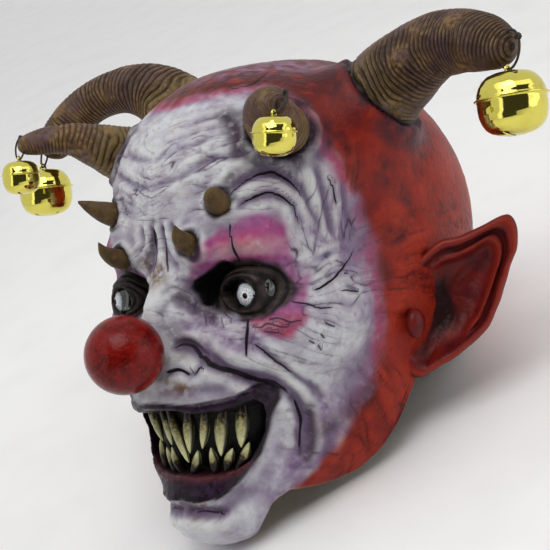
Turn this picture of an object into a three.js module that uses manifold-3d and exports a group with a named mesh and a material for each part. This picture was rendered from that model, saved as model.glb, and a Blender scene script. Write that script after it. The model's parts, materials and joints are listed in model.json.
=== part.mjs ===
// Clown mask: a whole-head latex mask in one casting, with four ringed horns, four brow
// thorns, pointed ears, a ball nose and bared teeth, and a jingle bell tied to each horn tip.
// All lengths are millimetres. The casting is shaped upright in its own frame, x to the
// wearer's left, -y out of the face, z up, with the chin near z = 0. At the end it is laid
// back until the edge of its neck opening and the underside of its chin meet the table.
import * as THREE from "three";
import Module from "manifold-3d";

const wasm = await Module();
wasm.setup();

// Driving sizes.
const WALL = 4; // latex wall of the hollow head
const LEAN_DEG = 27.1; // how far the head tips back when it lies on its opening
const REST_POINT = [0, -80, 1.6]; // where the table meets the opening's edge under the chin
const MOUTH_DEPTH = 13; // lips to the dark back of the mouth
const NOSE_RADIUS = 22.3;
const NOSE_AT = [0, -147, 121];
const EYE_AT = [52, -87, 147];
const EYE_RADII = [14, 12, 13];
const EAR_ORIGIN = [90, 4.3, 0]; // the ear's own plane starts here
const EAR_OUT = [0.84, 0.54, 0]; // and runs outwards and back
const EAR_FACE = [0.54, -0.84, 0]; // its hollow side looks forwards
const SLIVER = 0.05; // facets standing out by less than this are merged into their neighbours
const COLUMNS = 52; // facets round the head
const CROWN_ROWS = 5; // facets from the crown to the brow
const FACE_ROWS = 8; // from the brow to below the nose
const JAW_ROWS = 14; // from there to the rim

// The head's main masses: centre and the three radii; a centre off x = 0 has a twin
const MASSES = [
  { at: [0, 22, 178], r: [98, 122, 108] }, // cranium
  { at: [0, -26, 202], r: [84, 88, 77] }, // forehead
  { at: [57, -1, 233], r: [40, 42, 40] }, // root of the rear horn
  { at: [0, -30, 130], r: [78, 88, 85] }, // middle of the face
  { at: [28, -74, 180], r: [36, 37, 22] }, // brow
  { at: [52, -58, 156], r: [30, 34, 30] }, // outer rim of the eye
  { at: [54, -54, 130], r: [36, 42, 34] }, // cheekbone
  { at: [0, -55, 88], r: [58, 69, 52] }, // muzzle
  { at: [0, -46, 54], r: [58, 64, 44] }, // jaw
  { at: [0, -80, 26], r: [33, 35, 25] }, // chin
  { at: [0, 20, 130], r: [92, 108, 84] }, // back of the head
  { at: [0, -9, 82], r: [84, 76, 72] }, // neck
];
const BLEND = 5; // how softly the masses run into each other

// Swellings and hollows of the face: centre, radii, height
const SWELLINGS = [
  { at: [0, -116, 146], r: [9, 30, 13], h: 9 }, // bridge of the nose
  { at: [0, -120, 124], r: [17, 30, 17], h: 9 }, // root of the ball nose
  { at: [17, -117, 112], r: [8, 20, 8], h: 6 }, // nostril wing
  { at: [0, -125, 98], r: [26, 30, 11], h: 7 }, // upper lip's shelf
  { at: [45, -96, 116], r: [19, 30, 15], h: 8 }, // smiling cheek
  { at: [30, -106, 171], r: [17, 30, 8], h: 5 }, // brow ridge
  { at: [56, -92, 172], r: [16, 30, 9], h: 5 }, // outer brow ridge
  { at: [46, -99, 149], r: [25, 30, 14], h: -12 }, // eye socket
  { at: [28, -108, 150], r: [13, 30, 11], h: -6 }, // inner corner of the socket
  { at: [50, -97, 130], r: [20, 30, 6], h: 2.5 }, // bag under the eye
  { at: [0, -108, 17], r: [24, 30, 15], h: 3 }, // ball of the chin
  { at: [86, -38, 176], r: [20, 26, 26], h: -5 }, // temple
  { at: [76, -38, 88], r: [16, 26, 26], h: -5 }, // hollow of the cheek
];

// Folds of the skin: depth, half width, and the line each one runs along
const FOLDS = [
  { d: 5.5, w: 4, line: [[13, -117, 122], [24, -114, 119], [37, -109, 104], [47, -101, 99],
    [57, -88, 90], [62, -76, 79], [60, -71, 65], [55, -75, 50]] }, // smile fold
  { d: 3.5, w: 3.6, line: [[66, -70, 92], [70, -62, 76], [67, -56, 60], [60, -60, 45]] },
  { d: 3.5, w: 3, line: [[8, -121, 118], [14, -117, 122], [24, -112, 121], [27, -112, 112],
    [24, -116, 105], [14, -120, 102], [6, -123, 103]] }, // round the nostril wing
  { d: 4.5, w: 3.6, line: [[0, -115, 27], [10, -114, 26], [18, -110, 26], [25, -104, 27]] },
  { d: 3, w: 3, line: [[5, -114, 190], [5, -112, 180], [8, -111, 171], [12, -110, 163]] },
  { d: 4, w: 3.4, line: [[28, -108, 198], [40, -103, 205], [53, -95, 209], [64, -84, 206],
    [70, -77, 194], [72, -74, 180]] }, // arched fold over the brow
  { d: 3.2, w: 3, line: [[36, -105, 191], [47, -98, 196], [58, -90, 194], [64, -83, 183]] },
];

// Mouth: half outlines in x and z from the middle of the upper edge round to the lower
const MOUTH_OPENING = [[0, 87], [12, 86.5], [20, 84], [33, 84.5], [42, 87], [46, 88.5],
  [48.5, 85.5], [48, 79], [45.5, 70], [41, 61], [37, 54.5], [31, 50.5], [22, 48], [11, 47.5], [0, 48]];
const LIP_OUTLINE = [[0, 90], [22, 88.2], [33, 89], [40, 89.8], [44.5, 92], [47, 94.8],
  [50.5, 95], [53, 92], [53.5, 87.5], [50.5, 79], [47, 69], [42, 57], [31.5, 43.5], [22, 34.5],
  [12, 33], [0, 34]];

// Rim of the neck opening: azimuth from the face in degrees, latitude along the head
const RIM = [[0, 274], [12, 272], [22, 266], [32, 252], [42, 246], [57, 248.6], [71, 249],
  [84, 245], [93, 235], [96, 213], [99.5, 196], [106, 189], [117, 183], [135, 179],
  [155, 176], [180, 174.5]];

// Teeth: root and tip as x, y, z, and the half width
const UPPER_TEETH = [
  [[-34.5, -100, 84], [-27.5, -101, 67], 2.6],
  [[-21.8, -109, 84], [-19.7, -107, 65], 2.4],
  [[-9.5, -113.5, 84], [-8.6, -111, 64], 2.6],
  [[-2.5, -115, 84], [4.5, -112, 54.5], 2.9],
  [[10.2, -113.8, 84], [5.8, -111.5, 59.8], 3.1],
  [[19.9, -110.3, 84], [13.9, -109.7, 62.2], 2.6],
  [[28.7, -105.2, 84], [23.7, -105.3, 57.6], 4.2],
  [[37.2, -98.6, 84.5], [33.4, -98.8, 61.5], 4.2],
];
const LOWER_TEETH = [
  [[-23.7, -101.5, 49.5], [-25, -104, 66], 2.4],
  [[-12.4, -105.5, 47], [-16.9, -107.5, 62], 2.6],
  [[-5.3, -107, 47], [-10.5, -109.3, 63], 2.4],
  [[3.2, -107.5, 47], [10.1, -109.4, 61.4], 2.8],
  [[17.5, -104, 47], [18, -106.9, 62.7], 2.4],
  [[23.5, -101.5, 48], [29, -101.1, 61.5], 2.9],
  [[29, -98, 50], [36.8, -95.3, 63.9], 3],
];

// Horns: middle line and the radius at each of its points
const HORNS = [
  { line: [[68, 4, 240], [84, 2, 254], [100, 0, 263], [123, -6, 270.5], [143, -12, 271],
    [163, -19, 267], [177, -24, 262], [186, -27, 260]],
    radii: [27, 25.5, 23.5, 20, 18.2, 16.3, 12.3, 6.5], sides: 12, steps: 11 },
  { line: [[-66, 6, 245], [-84, 0.5, 268], [-103.5, -3.5, 281.5], [-127.6, -8.5, 286],
    [-151.7, -14.5, 281], [-172, -21, 268], [-185, -25.5, 255], [-191, -27, 248.5]],
    radii: [28, 25, 20.5, 16, 14.8, 14.4, 12, 6], sides: 12, steps: 11 },
  { line: [[52, -56, 231], [62, -70, 233.5], [69, -85, 238.5], [77, -98, 241.5],
    [87, -108, 243.5], [98, -116, 243.6], [107, -121, 241]],
    radii: [16.5, 16.5, 15.5, 13, 10.3, 8.4, 4.8], sides: 11, steps: 8 },
  { line: [[-52, -56, 231], [-65, -71, 236], [-70, -85, 241.5], [-77, -98, 246.7],
    [-86, -108, 248], [-95, -116, 247], [-103, -121, 245]],
    radii: [20, 18, 14.7, 11, 8.8, 7.8, 4.9], sides: 11, steps: 8 },
];
const THORNS = [
  { line: [[38, -98, 196], [44, -108.5, 198.5], [49, -116, 201], [53, -121.5, 203.3]],
    radii: [7.8, 7.2, 5.6, 2.2] },
  { line: [[-38, -98, 195.5], [-44, -109, 200], [-49, -117, 204.5], [-53.2, -121.7, 208.2]],
    radii: [8.2, 7.2, 4.2, 1] },
  { line: [[24.5, -111, 176], [26, -118.5, 178.5], [28.5, -125, 182.5], [31, -129, 187.5]],
    radii: [6.5, 6, 4, 1] },
  { line: [[-29.5, -111, 171.5], [-31, -118, 173.5], [-31.8, -124.5, 177.5], [-31, -129, 183]],
    radii: [6.5, 6, 4, 1] },
];

// Ear outline in its own plane, outwards and up, from the front of the top edge
const EAR_OUTLINE = [[9, 158], [17, 163], [29, 165], [41, 169], [53, 174], [59, 173.5],
  [62, 167], [61, 156], [57, 146], [52, 134], [47, 122], [41, 111], [31, 102], [19, 94],
  [9, 89], [3, 86], [-3, 84], [-10, 88], [-12, 101], [-11, 118], [-7, 136], [0, 150]];
const EAR_MIDDLE = [20, 128];
const EAR_FRONT_RINGS = [[0.93, 2.2], [0.82, -1], [0.66, -6.5], [0.35, -10.5]];
const EAR_BACK_RINGS = [[0.9, -6], [0.62, -14]];

// Bells: middle, the way up to its loop, body radius and facets round; then the tie's highest
// point over the horn tip, its half width, the way it passes the loop, and where its knot sits.
const BELLS = [
  { name: "rear_left", at: [183, -27.5, 231.8], up: [-0.05, 0, 1], r: 18.6, sides: 15,
    tieTop: [186.5, -27, 268.6], tieHalf: 5.6, through: [1, 0, 0], knot: 0.8 },
  { name: "rear_right", at: [-188.3, -34.2, 223.8], up: [0, 0, 1], r: 18.6, sides: 15,
    tieTop: [-189, -27.5, 261], tieHalf: 3.6, through: [1, 0, 0], knot: 0 },
  { name: "front_left", at: [106, -128, 225.8], up: [0.1, 0, 1], r: 11.4, sides: 10,
    tieTop: [107.5, -117.2, 247.5], tieHalf: 2.7, through: [0.98, 0.19, 0], knot: 0 },
  { name: "front_right", at: [-98, -125, 227.4], up: [0, 0, 1], r: 11.4, sides: 10,
    tieTop: [-101, -119.6, 251.6], tieHalf: 2.7, through: [0.86, 0.51, 0], knot: 0 },
];
const SLIT = 0.14; // width of a bell's cross slit, in body radii
const TIE_GAP = 0.35; // between a tie and the hole it runs through
// Half section of a bell for a body of radius 1, top to bottom, with the seam's flange.
const BELL_OUTSIDE = [[0, 0.86], [0.44, 0.84], [0.82, 0.62], [0.99, 0.2], [1.06, 0.17],
  [1.06, 0.12], [0.99, 0.09], [0.98, -0.3], [0.82, -0.68], [0.48, -0.88], [0, -0.92]];
const BELL_INSIDE = [[0, 0.76], [0.74, 0.55], [0.9, -0.3], [0.7, -0.64], [0, -0.83]];

// Small vector helpers.
const add = (a, b, k = 1) => a.map((v, i) => v + k * b[i]);
const dot = (a, b) => a[0] * b[0] + a[1] * b[1] + a[2] * b[2];
const size = (a) => Math.hypot(...a);
const unit = (a) => a.map((v) => v / size(a));
const cross = (a, b) => [
  a[1] * b[2] - a[2] * b[1],
  a[2] * b[0] - a[0] * b[2],
  a[0] * b[1] - a[1] * b[0],
];
const clamp = (v, lo, hi) => Math.min(hi, Math.max(lo, v));
const ease = (v) => {
  const t = clamp(v, 0, 1);
  return t * t * (3 - 2 * t);
};
const mirror = (p) => [-p[0], p[1], p[2]];
const between = (table, x) => {
  const i = Math.max(1, table.findIndex((p) => p[0] >= x));
  const [a, b] = [table[i - 1], table[i]];
  return a[1] + ((b[1] - a[1]) * (x - a[0])) / (b[0] - a[0]);
};

// A point of a smooth curve through the given points, t from 0 to 1.
function along(points, t) {
  const n = points.length - 1;
  const i = Math.min(Math.floor(t * n), n - 1);
  const u = t * n - i;
  const b = points[i];
  const c = points[i + 1];
  const a = i > 0 ? points[i - 1] : b.map((v, k) => 2 * v - c[k]);
  const d = i + 2 <= n ? points[i + 2] : c.map((v, k) => 2 * v - b[k]);
  return b.map((v, k) => 0.5 * (2 * v + (c[k] - a[k]) * u
    + (2 * a[k] - 5 * v + 4 * c[k] - d[k]) * u * u
    + (3 * v - 3 * c[k] + d[k] - a[k]) * u * u * u));
}

// Solids.
function solid(positions, triangles) {
  return new wasm.Manifold(new wasm.Mesh({
    numProp: 3,
    vertProperties: new Float32Array(positions.flat()),
    triVerts: new Uint32Array(triangles.flat()),
  }));
}

// Closes a stack of loops, each counter-clockwise seen from the first end, with a point at
// either end.
function stack(first, loops, last) {
  const n = loops[0].length;
  const points = [...loops.flat(), first, last];
  const top = points.length - 2;
  const end = points.length - 1;
  const faces = [];
  for (let j = 0; j < n; j++) {
    const k = (j + 1) % n;
    faces.push([j, k, top]);
    for (let i = 0; i + 1 < loops.length; i++) {
      const a = i * n;
      const b = a + n;
      faces.push([b + j, b + k, a + k], [b + j, a + k, a + j]);
    }
    const z = (loops.length - 1) * n;
    faces.push([z + k, z + j, end]);
  }
  return solid(points, faces);
}

function solidOf(geometry, matrix = new THREE.Matrix4()) {
  const flat = geometry.clone().applyMatrix4(matrix);
  const at = flat.getAttribute("position");
  const index = flat.index ? [...flat.index.array] : [...Array(at.count).keys()];
  const seen = new Map();
  const points = [];
  const map = [];
  for (let i = 0; i < at.count; i++) {
    const p = [at.getX(i), at.getY(i), at.getZ(i)];
    const key = p.map((v) => Math.round(v * 2000)).join();
    if (!seen.has(key)) {
      seen.set(key, points.length);
      points.push(p);
    }
    map.push(seen.get(key));
  }
  const faces = [];
  for (let i = 0; i < index.length; i += 3) {
    const f = [map[index[i]], map[index[i + 1]], map[index[i + 2]]];
    if (f[0] !== f[1] && f[1] !== f[2] && f[0] !== f[2]) faces.push(f);
  }
  return solid(points, faces);
}

const basis = (x, y, z, at) => new THREE.Matrix4().makeBasis(
  new THREE.Vector3(...x), new THREE.Vector3(...y), new THREE.Vector3(...z),
).setPosition(...at);

// A tapering round bar along a curve, its far end a blunt point.
function bar(points, radii, sides, steps) {
  const loops = [];
  const radius = radii.map((r) => [r]);
  let side = null;
  for (let i = 0; i <= steps; i++) {
    const t = i / steps;
    const at = along(points, t);
    const ahead = unit(add(along(points, Math.min(1, t + 0.01)),
      along(points, Math.max(0, t - 0.01)), -1));
    side = unit(cross(ahead, side ? cross(side, ahead) : [0, 0, 1]));
    const up = cross(side, ahead);
    const r = along(radius, t)[0];
    loops.push([...Array(sides).keys()].map((k) => {
      const a = (2 * Math.PI * k) / sides;
      return add(add(at, side, r * Math.cos(a)), up, r * Math.sin(a));
    }));
  }
  const near = along(points, 0);
  const far = add(along(points, 1), unit(add(along(points, 1), along(points, 0.97), -1)),
    0.45 * radii.at(-1));
  return stack(near, loops, far);
}

// The head's skin.
// A place on the head is an azimuth from the face and a latitude: 0 at the crown, 90 at
// z = 190, then one unit a millimetre down to z = 45, then degrees under the jaw.
const HIGH = 190;
const LOW = 45;
function ray(latitude, azimuth) {
  const z = clamp(HIGH - (latitude - 90), LOW, HIGH);
  const under = 90 + HIGH - LOW;
  const tilt = latitude < 90 ? 90 - latitude : latitude > under ? under - latitude : 0;
  const e = (tilt * Math.PI) / 180;
  return {
    from: [0, -25 * clamp((110 - z) / 65, 0, 1), z],
    to: [Math.cos(e) * Math.sin(azimuth), -Math.cos(e) * Math.cos(azimuth), Math.sin(e)],
  };
}

// The blended outermost surface of the masses along a ray.
function bare(latitude, azimuth) {
  const { from, to } = ray(latitude, azimuth);
  const hits = [];
  for (const { at, r } of MASSES) {
    for (const c of at[0] ? [at, mirror(at)] : [at]) {
      const q = from.map((v, i) => (v - c[i]) / r[i]);
      const e = to.map((v, i) => v / r[i]);
      const a = dot(e, e);
      const b = dot(e, q);
      const inside = b * b - a * (dot(q, q) - 1);
      hits.push(inside > 0 ? (-b + Math.sqrt(inside)) / a : 0);
    }
  }
  const most = Math.max(...hits);
  const sum = hits.reduce((s, h) => s + Math.exp((h - most) / BLEND), 0);
  return add(from, to, most + BLEND * Math.log(sum));
}

const outward = (p) => unit(add(p, [0, -10, clamp(p[2], 60, 185)], -1));

function toLine(p, line) {
  let best = Infinity;
  for (let i = 0; i + 1 < line.length; i++) {
    const run = add(line[i + 1], line[i], -1);
    const rel = add(p, line[i], -1);
    const t = clamp(dot(rel, run) / dot(run, run), 0, 1);
    best = Math.min(best, size(add(rel, run, -t)));
  }
  return best;
}

// Distance into a half outline closed by its mirror image, negative outside.
function into(x, z, half) {
  const loop = [...half, ...half.slice(1, -1).reverse().map((p) => [-p[0], p[1]])];
  let best = Infinity;
  let within = false;
  loop.forEach((a, i) => {
    const b = loop[(i + 1) % loop.length];
    const [ex, ez] = [b[0] - a[0], b[1] - a[1]];
    const t = clamp(((x - a[0]) * ex + (z - a[1]) * ez) / (ex * ex + ez * ez), 0, 1);
    best = Math.min(best, Math.hypot(x - a[0] - t * ex, z - a[1] - t * ez));
    if (a[1] > z !== b[1] > z && x < a[0] + ((z - a[1]) * ex) / ez) within = !within;
  });
  return within ? best : -best;
}

const swell = (p, { at, r, h }) => {
  const q = p.map((v, i) => (v - at[i]) / r[i]);
  return h * Math.exp(-dot(q, q));
};

// The skin with its features.
function skin(latitude, azimuth) {
  const p = bare(latitude, azimuth);
  const q = [Math.abs(p[0]), p[1], p[2]];
  let rise = SWELLINGS.reduce((s, f) => s + swell(q, f), 0);
  for (const { d, w, line } of FOLDS) {
    const s = toLine(q, line);
    rise += 0.3 * d * Math.exp(-(((s - 2.4 * w) / (1.2 * w)) ** 2)) - d * Math.exp(-((s / w) ** 2));
  }
  const front = ease((-p[1] - 55) / 15);
  const lipIn = into(q[0], q[2], LIP_OUTLINE);
  const lip = ease((lipIn + 1.5) / 4) * front;
  rise += lip * (3 + 2 * ease((70 - q[2]) / 25)) - front * 2 * Math.exp(-(((lipIn + 6) / 4) ** 2));
  const out = add(p, outward(p), rise);
  out[1] += front * ease((into(q[0], q[2], MOUTH_OPENING) + 1) / 3.5) * MOUTH_DEPTH;
  return out;
}

// The inside of the head follows the hollows of the skin but not its fine folds.
function lining(latitude, azimuth) {
  const p = bare(latitude, azimuth);
  const q = [Math.abs(p[0]), p[1], p[2]];
  let sink = WALL;
  for (const f of SWELLINGS) if (f.h < 0) sink -= swell(q, f);
  for (const { d, w, line } of FOLDS) sink += 0.8 * d * Math.exp(-((toLine(q, line) / (2.4 * w)) ** 2));
  sink += 3 * Math.exp(-((size(add(q, EYE_AT, -1)) / 24) ** 2));
  const front = ease((-p[1] - 45) / 15);
  const out = add(p, outward(p), -sink);
  out[1] += front * ease((into(q[0], q[2], MOUTH_OPENING) + 12) / 8) * MOUTH_DEPTH;
  return out;
}

// Azimuths packed closer together round the face.
function azimuths(count) {
  const table = [[0, -Math.PI]];
  const fine = 2000;
  for (let i = 1; i <= fine; i++) {
    const a = -Math.PI + (2 * Math.PI * i) / fine;
    table.push([table[i - 1][0] + 1 + 2.2 * Math.exp(-((a / 0.95) ** 4)), a]);
  }
  const total = table[fine][0];
  return [...Array(count).keys()].map((k) => between(table, (total * k) / count + 1e-9));
}

// Latitudes from the crown to the rim; above 150 they run level all round.
function latitudes(azimuth, crown, face, jaw) {
  const rim = between(RIM, clamp((Math.abs(azimuth) * 180) / Math.PI, 1e-6, 180));
  const list = [];
  for (let i = 1; i <= crown; i++) list.push((90 * i) / crown);
  for (let i = 1; i <= face; i++) list.push(90 + (60 * i) / face);
  for (let i = 1; i <= jaw; i++) list.push(150 + ((rim - 150) * i) / jaw);
  return list;
}

function shell(surface, columns, crown, face, jaw) {
  const around = azimuths(columns);
  const loops = [];
  around.forEach((a) => latitudes(a, crown, face, jaw).forEach((v, i) => {
    (loops[i] = loops[i] || []).push(surface(v, a));
  }));
  return { pole: surface(0, 0), loops };
}

// The casting.
const lean = (LEAN_DEG * Math.PI) / 180;
const restHeight = (y) => REST_POINT[2] + Math.tan(lean) * (y - REST_POINT[1]);

const outer = shell(skin, COLUMNS, CROWN_ROWS, FACE_ROWS, JAW_ROWS);
let head = stack(outer.pole, outer.loops, [0, 30, restHeight(30)]);

// Horns, thorns, ears, nose and eyes grow out of the skin.
for (const { line, radii, sides, steps } of HORNS) head = head.add(bar(line, radii, sides, steps));
for (const { line, radii } of THORNS) head = head.add(bar(line, radii, 8, 4));

const earPoint = ([a, z], d) => add(add([EAR_ORIGIN[0], EAR_ORIGIN[1], z], EAR_OUT, a), EAR_FACE, d);
const earRing = ([k, d]) => EAR_OUTLINE.map(([a, z]) => earPoint(
  [EAR_MIDDLE[0] + k * (a - EAR_MIDDLE[0]), EAR_MIDDLE[1] + k * (z - EAR_MIDDLE[1])], d));
const earLoops = [
  ...EAR_FRONT_RINGS.toReversed().map(earRing),
  earRing([1, -1]),
  ...EAR_BACK_RINGS.map(earRing),
].map((loop) => loop.toReversed());
const ear = stack(earPoint(EAR_MIDDLE, -11), earLoops, earPoint(EAR_MIDDLE, -18));
const tragus = new THREE.SphereGeometry(1, 8, 5).scale(5, 7, 9).translate(94, -5, 117);
const otherSide = (s) => s.mirror([1, 0, 0]);
head = head.add(ear).add(otherSide(ear)).add(solidOf(tragus)).add(otherSide(solidOf(tragus)));

const nose = new THREE.SphereGeometry(NOSE_RADIUS, 18, 10).rotateX(Math.PI / 2).translate(...NOSE_AT);
head = head.add(solidOf(nose));
const eye = new THREE.SphereGeometry(1, 12, 7).rotateX(Math.PI / 2).scale(...EYE_RADII)
  .translate(...EYE_AT);
head = head.add(solidOf(eye)).add(otherSide(solidOf(eye)));

// The hollow runs on out of the neck opening.
const inner = shell(lining, COLUMNS / 2, 4, 5, 9);
const rimLoop = inner.loops.at(-1);
const beyond = rimLoop.map((p) => add(p, [0, 35, -75]));
head = head.subtract(stack(inner.pole, [...inner.loops, beyond], [0, 60, -60]));

// Teeth stand in the dark back of the mouth.
function tooth([root, tip, half]) {
  const profile = [[-0.1, 0.8], [0.5, 1], [0.85, 0.55]];
  const run = add(tip, root, -1);
  const ahead = unit(run);
  const side = unit(cross(ahead, [0, -1, 0]));
  const out = cross(side, ahead);
  const loops = profile.map(([t, w]) => [...Array(5).keys()].map((k) => {
    const a = (2 * Math.PI * k) / 5;
    const at = add(root, run, t);
    return add(add(at, side, half * w * Math.cos(a)), out, 3.4 * w * Math.sin(a));
  }));
  return stack(add(root, run, -0.22), loops, tip);
}
for (const t of [...UPPER_TEETH, ...LOWER_TEETH]) head = head.add(tooth(t));

// Peepholes between the bridge of the nose and each eye.
const PEEPHOLE = [[20, 152], [27, 159], [41, 165], [38, 157], [32, 148], [26, 144], [21, 147]];
function peephole() {
  const middle = [PEEPHOLE.reduce((s, p) => s + p[0], 0) / PEEPHOLE.length,
    PEEPHOLE.reduce((s, p) => s + p[1], 0) / PEEPHOLE.length];
  const loop = (y) => PEEPHOLE.map(([x, z]) => [x, y, z]).toReversed();
  return stack([middle[0], -140, middle[1]], [loop(-140), loop(-70)], [middle[0], -70, middle[1]]);
}
head = head.subtract(peephole()).subtract(otherSide(peephole()));

// A ring of round wire: middle, the two half axes of its middle line, and the wire's radius.
function ring(at, u, v, wire, turns, sides) {
  const points = [];
  const faces = [];
  const normal = unit(cross(u, v));
  for (let i = 0; i < turns; i++) {
    const a = (2 * Math.PI * i) / turns;
    const on = add(add(at, u, Math.cos(a)), v, Math.sin(a));
    const out = unit(cross(add(v.map((c) => c * Math.cos(a)), u, -Math.sin(a)), normal));
    for (let k = 0; k < sides; k++) {
      const b = (2 * Math.PI * k) / sides;
      points.push(add(add(on, out, wire * Math.cos(b)), normal, wire * Math.sin(b)));
      const [ahead, next] = [(i + 1) % turns, (k + 1) % sides];
      const q = [i * sides + k, ahead * sides + k, ahead * sides + next, i * sides + next];
      faces.push([q[0], q[1], q[2]], [q[0], q[2], q[3]]);
    }
  }
  return solid(points, faces);
}

// The measures of a bell's wire loop and of the tie that runs through it.
function rigging({ at, up, r, through, tieTop, tieHalf }) {
  const big = r > 15;
  const z = unit(up);
  const y = unit(cross(z, through));
  const loop = big ? 2.3 : 1.8;
  const wire = big ? 0.7 : 0.55;
  const loopAt = add(at, z, 0.86 * r + 0.45 * loop);
  const low = add(loopAt, z, 0.1);
  const long = add(tieTop, low, -1).map((c) => c / 2);
  const wide = unit(add(through, unit(long), -dot(through, unit(long)))).map((c) => c * tieHalf);
  return { x: cross(y, z), y, z, loop, wire, loopAt, long, wide,
    tieAt: add(tieTop, long, -1), thread: big ? 0.8 : 0.65, knot: big ? 2.4 : 1.8 };
}

function bell(spec) {
  const { x, y, z, loop, wire, loopAt } = rigging(spec);
  const { r, at, sides } = spec;
  const place = basis(x, y, z, at);
  const turned = (profile) => solidOf(new THREE.LatheGeometry(
    profile.toReversed().map(([a, b]) => new THREE.Vector2(a * r, b * r)), sides,
  ).rotateX(Math.PI / 2), place);
  let body = turned(BELL_OUTSIDE).subtract(turned(BELL_INSIDE));
  for (const [w, l] of [[SLIT * r, 1.3 * r], [1.3 * r, SLIT * r]]) {
    const cut = new THREE.BoxGeometry(w, l, 0.9 * r).translate(0, 0, -0.75 * r);
    body = body.subtract(solidOf(cut, place));
  }
  return body.add(ring(loopAt, z.map((v) => v * loop), y.map((v) => v * loop), wire, 8, 5));
}

// A closed loop of waxed thread round the horn tip, with its knot; grow widens it into a hole.
function tie(spec, grow) {
  const { tieAt, long, wide, thread, knot } = rigging(spec);
  const knotAt = add(add(tieAt, long, Math.cos(spec.knot)), wide, Math.sin(spec.knot));
  const lump = new THREE.SphereGeometry(knot + grow, 6, 4).translate(...knotAt);
  return ring(tieAt, long, wide, thread + grow, 12, 5).add(solidOf(lump));
}

// The edge is cut by the table's plane, so the casting rests on flat places.
const down = [0, Math.sin(lean), -Math.cos(lean)];
const table = new THREE.BoxGeometry(600, 600, 200).translate(0, 0, -100);
const tablePlace = basis([1, 0, 0], [0, Math.cos(lean), Math.sin(lean)], down.map((v) => -v),
  REST_POINT);
head = head.subtract(solidOf(table, tablePlace));
for (const spec of BELLS) head = head.subtract(tie(spec, TIE_GAP));
head = head.asOriginal().simplify(SLIVER);

const mask = new THREE.Group();
mask.rotation.x = -lean;

function mesh(name, made, colour, roughness, metalness = 0) {
  const { numProp, vertProperties, triVerts } = made.getMesh();
  const flat = [];
  for (let i = 0; i < vertProperties.length; i += numProp) {
    flat.push(...vertProperties.slice(i, i + 3));
  }
  const geometry = new THREE.BufferGeometry();
  geometry.setAttribute("position", new THREE.BufferAttribute(new Float32Array(flat), 3));
  geometry.setIndex([...triVerts]);
  const material = new THREE.MeshStandardMaterial({ color: colour, roughness, metalness });
  const piece = new THREE.Mesh(geometry, material);
  piece.name = name;
  mask.add(piece);
}

mesh("mask", head, "#cfc9cb", 0.5);
for (const spec of BELLS) {
  mesh("bell_" + spec.name, bell(spec), "#d8cf6a", 0.15, 1);
  mesh("tie_" + spec.name, tie(spec, 0), "#1c1715", 0.8);
}

// The origin is under the middle of the whole thing, on the table.
const group = new THREE.Group();
group.add(mask);
group.updateMatrixWorld(true);
const extent = new THREE.Box3().setFromObject(group, true);
const middle = extent.getCenter(new THREE.Vector3());
mask.position.set(-middle.x, -middle.y, -extent.min.z);

export default group;
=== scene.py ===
"""Clown mask: the looks of the latex head, its horns, ears, eyes, nose and teeth, and its four bells.

All shaping is done in millimetres in the head's own upright frame, x to the wearer's left, -y out of
the face and z up from the chin, and is then laid back on the table as the solids are.
"""
import json
import math

import bpy
import numpy as np
from bpy.props import FloatProperty, FloatVectorProperty, IntProperty, PointerProperty
from mathutils import Matrix, Vector

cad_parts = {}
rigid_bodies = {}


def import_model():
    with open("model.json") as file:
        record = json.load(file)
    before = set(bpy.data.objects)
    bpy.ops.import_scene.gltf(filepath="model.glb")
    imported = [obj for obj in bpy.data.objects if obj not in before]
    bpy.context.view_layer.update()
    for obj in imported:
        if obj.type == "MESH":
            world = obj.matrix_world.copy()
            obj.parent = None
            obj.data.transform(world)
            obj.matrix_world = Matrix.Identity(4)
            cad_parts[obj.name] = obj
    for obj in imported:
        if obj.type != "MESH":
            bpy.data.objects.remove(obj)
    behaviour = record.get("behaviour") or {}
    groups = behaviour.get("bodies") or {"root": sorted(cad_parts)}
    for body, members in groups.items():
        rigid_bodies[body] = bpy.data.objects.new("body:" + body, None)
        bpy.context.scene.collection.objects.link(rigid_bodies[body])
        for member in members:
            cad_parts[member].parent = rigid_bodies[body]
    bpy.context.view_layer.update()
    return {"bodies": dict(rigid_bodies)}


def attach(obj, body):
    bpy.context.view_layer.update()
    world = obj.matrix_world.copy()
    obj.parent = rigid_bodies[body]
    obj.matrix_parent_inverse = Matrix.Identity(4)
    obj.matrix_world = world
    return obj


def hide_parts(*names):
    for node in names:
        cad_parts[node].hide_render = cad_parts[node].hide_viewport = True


bl_info = {
    "name": "Clown mask",
    "version": (1, 0, 0),
    "blender": (4, 5, 0),
    "location": "View3D > Sidebar > Clown mask",
    "description": "Builds the painted latex clown mask round its measured solids",
    "category": "Object",
}

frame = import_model()
BODY = list(frame["bodies"])[0]

# The lay of the head on the table, as the solids have it.
LEAN = math.radians(27.1)
SEAT = np.array([2.718, -60.926, -37.868])  # the head's own origin in the frame, mm

# The head's main masses: centre and radii in mm. A centre off x = 0 has a twin.
MASSES = [
    ((0, 22, 178), (98, 122, 108)),  # cranium
    ((0, -26, 202), (84, 88, 77)),  # forehead
    ((57, -1, 233), (40, 42, 40)),  # root of the rear horn
    ((0, -30, 130), (78, 88, 85)),  # middle of the face
    ((28, -74, 180), (36, 37, 22)),  # brow
    ((52, -58, 156), (30, 34, 30)),  # outer rim of the eye
    ((54, -54, 130), (36, 42, 34)),  # cheekbone
    ((0, -55, 88), (58, 69, 52)),  # muzzle
    ((0, -46, 54), (58, 64, 44)),  # jaw
    ((0, -80, 26), (33, 35, 25)),  # chin
    ((0, 20, 130), (92, 108, 84)),  # back of the head
    ((0, -9, 82), (84, 76, 72)),  # neck
]
BLEND = 5.0
HIGH, LOW = 190.0, 45.0  # between these heights the head is scanned by level rays
WALL = 4.0
MOUTH_DEPTH = 13.0

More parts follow.
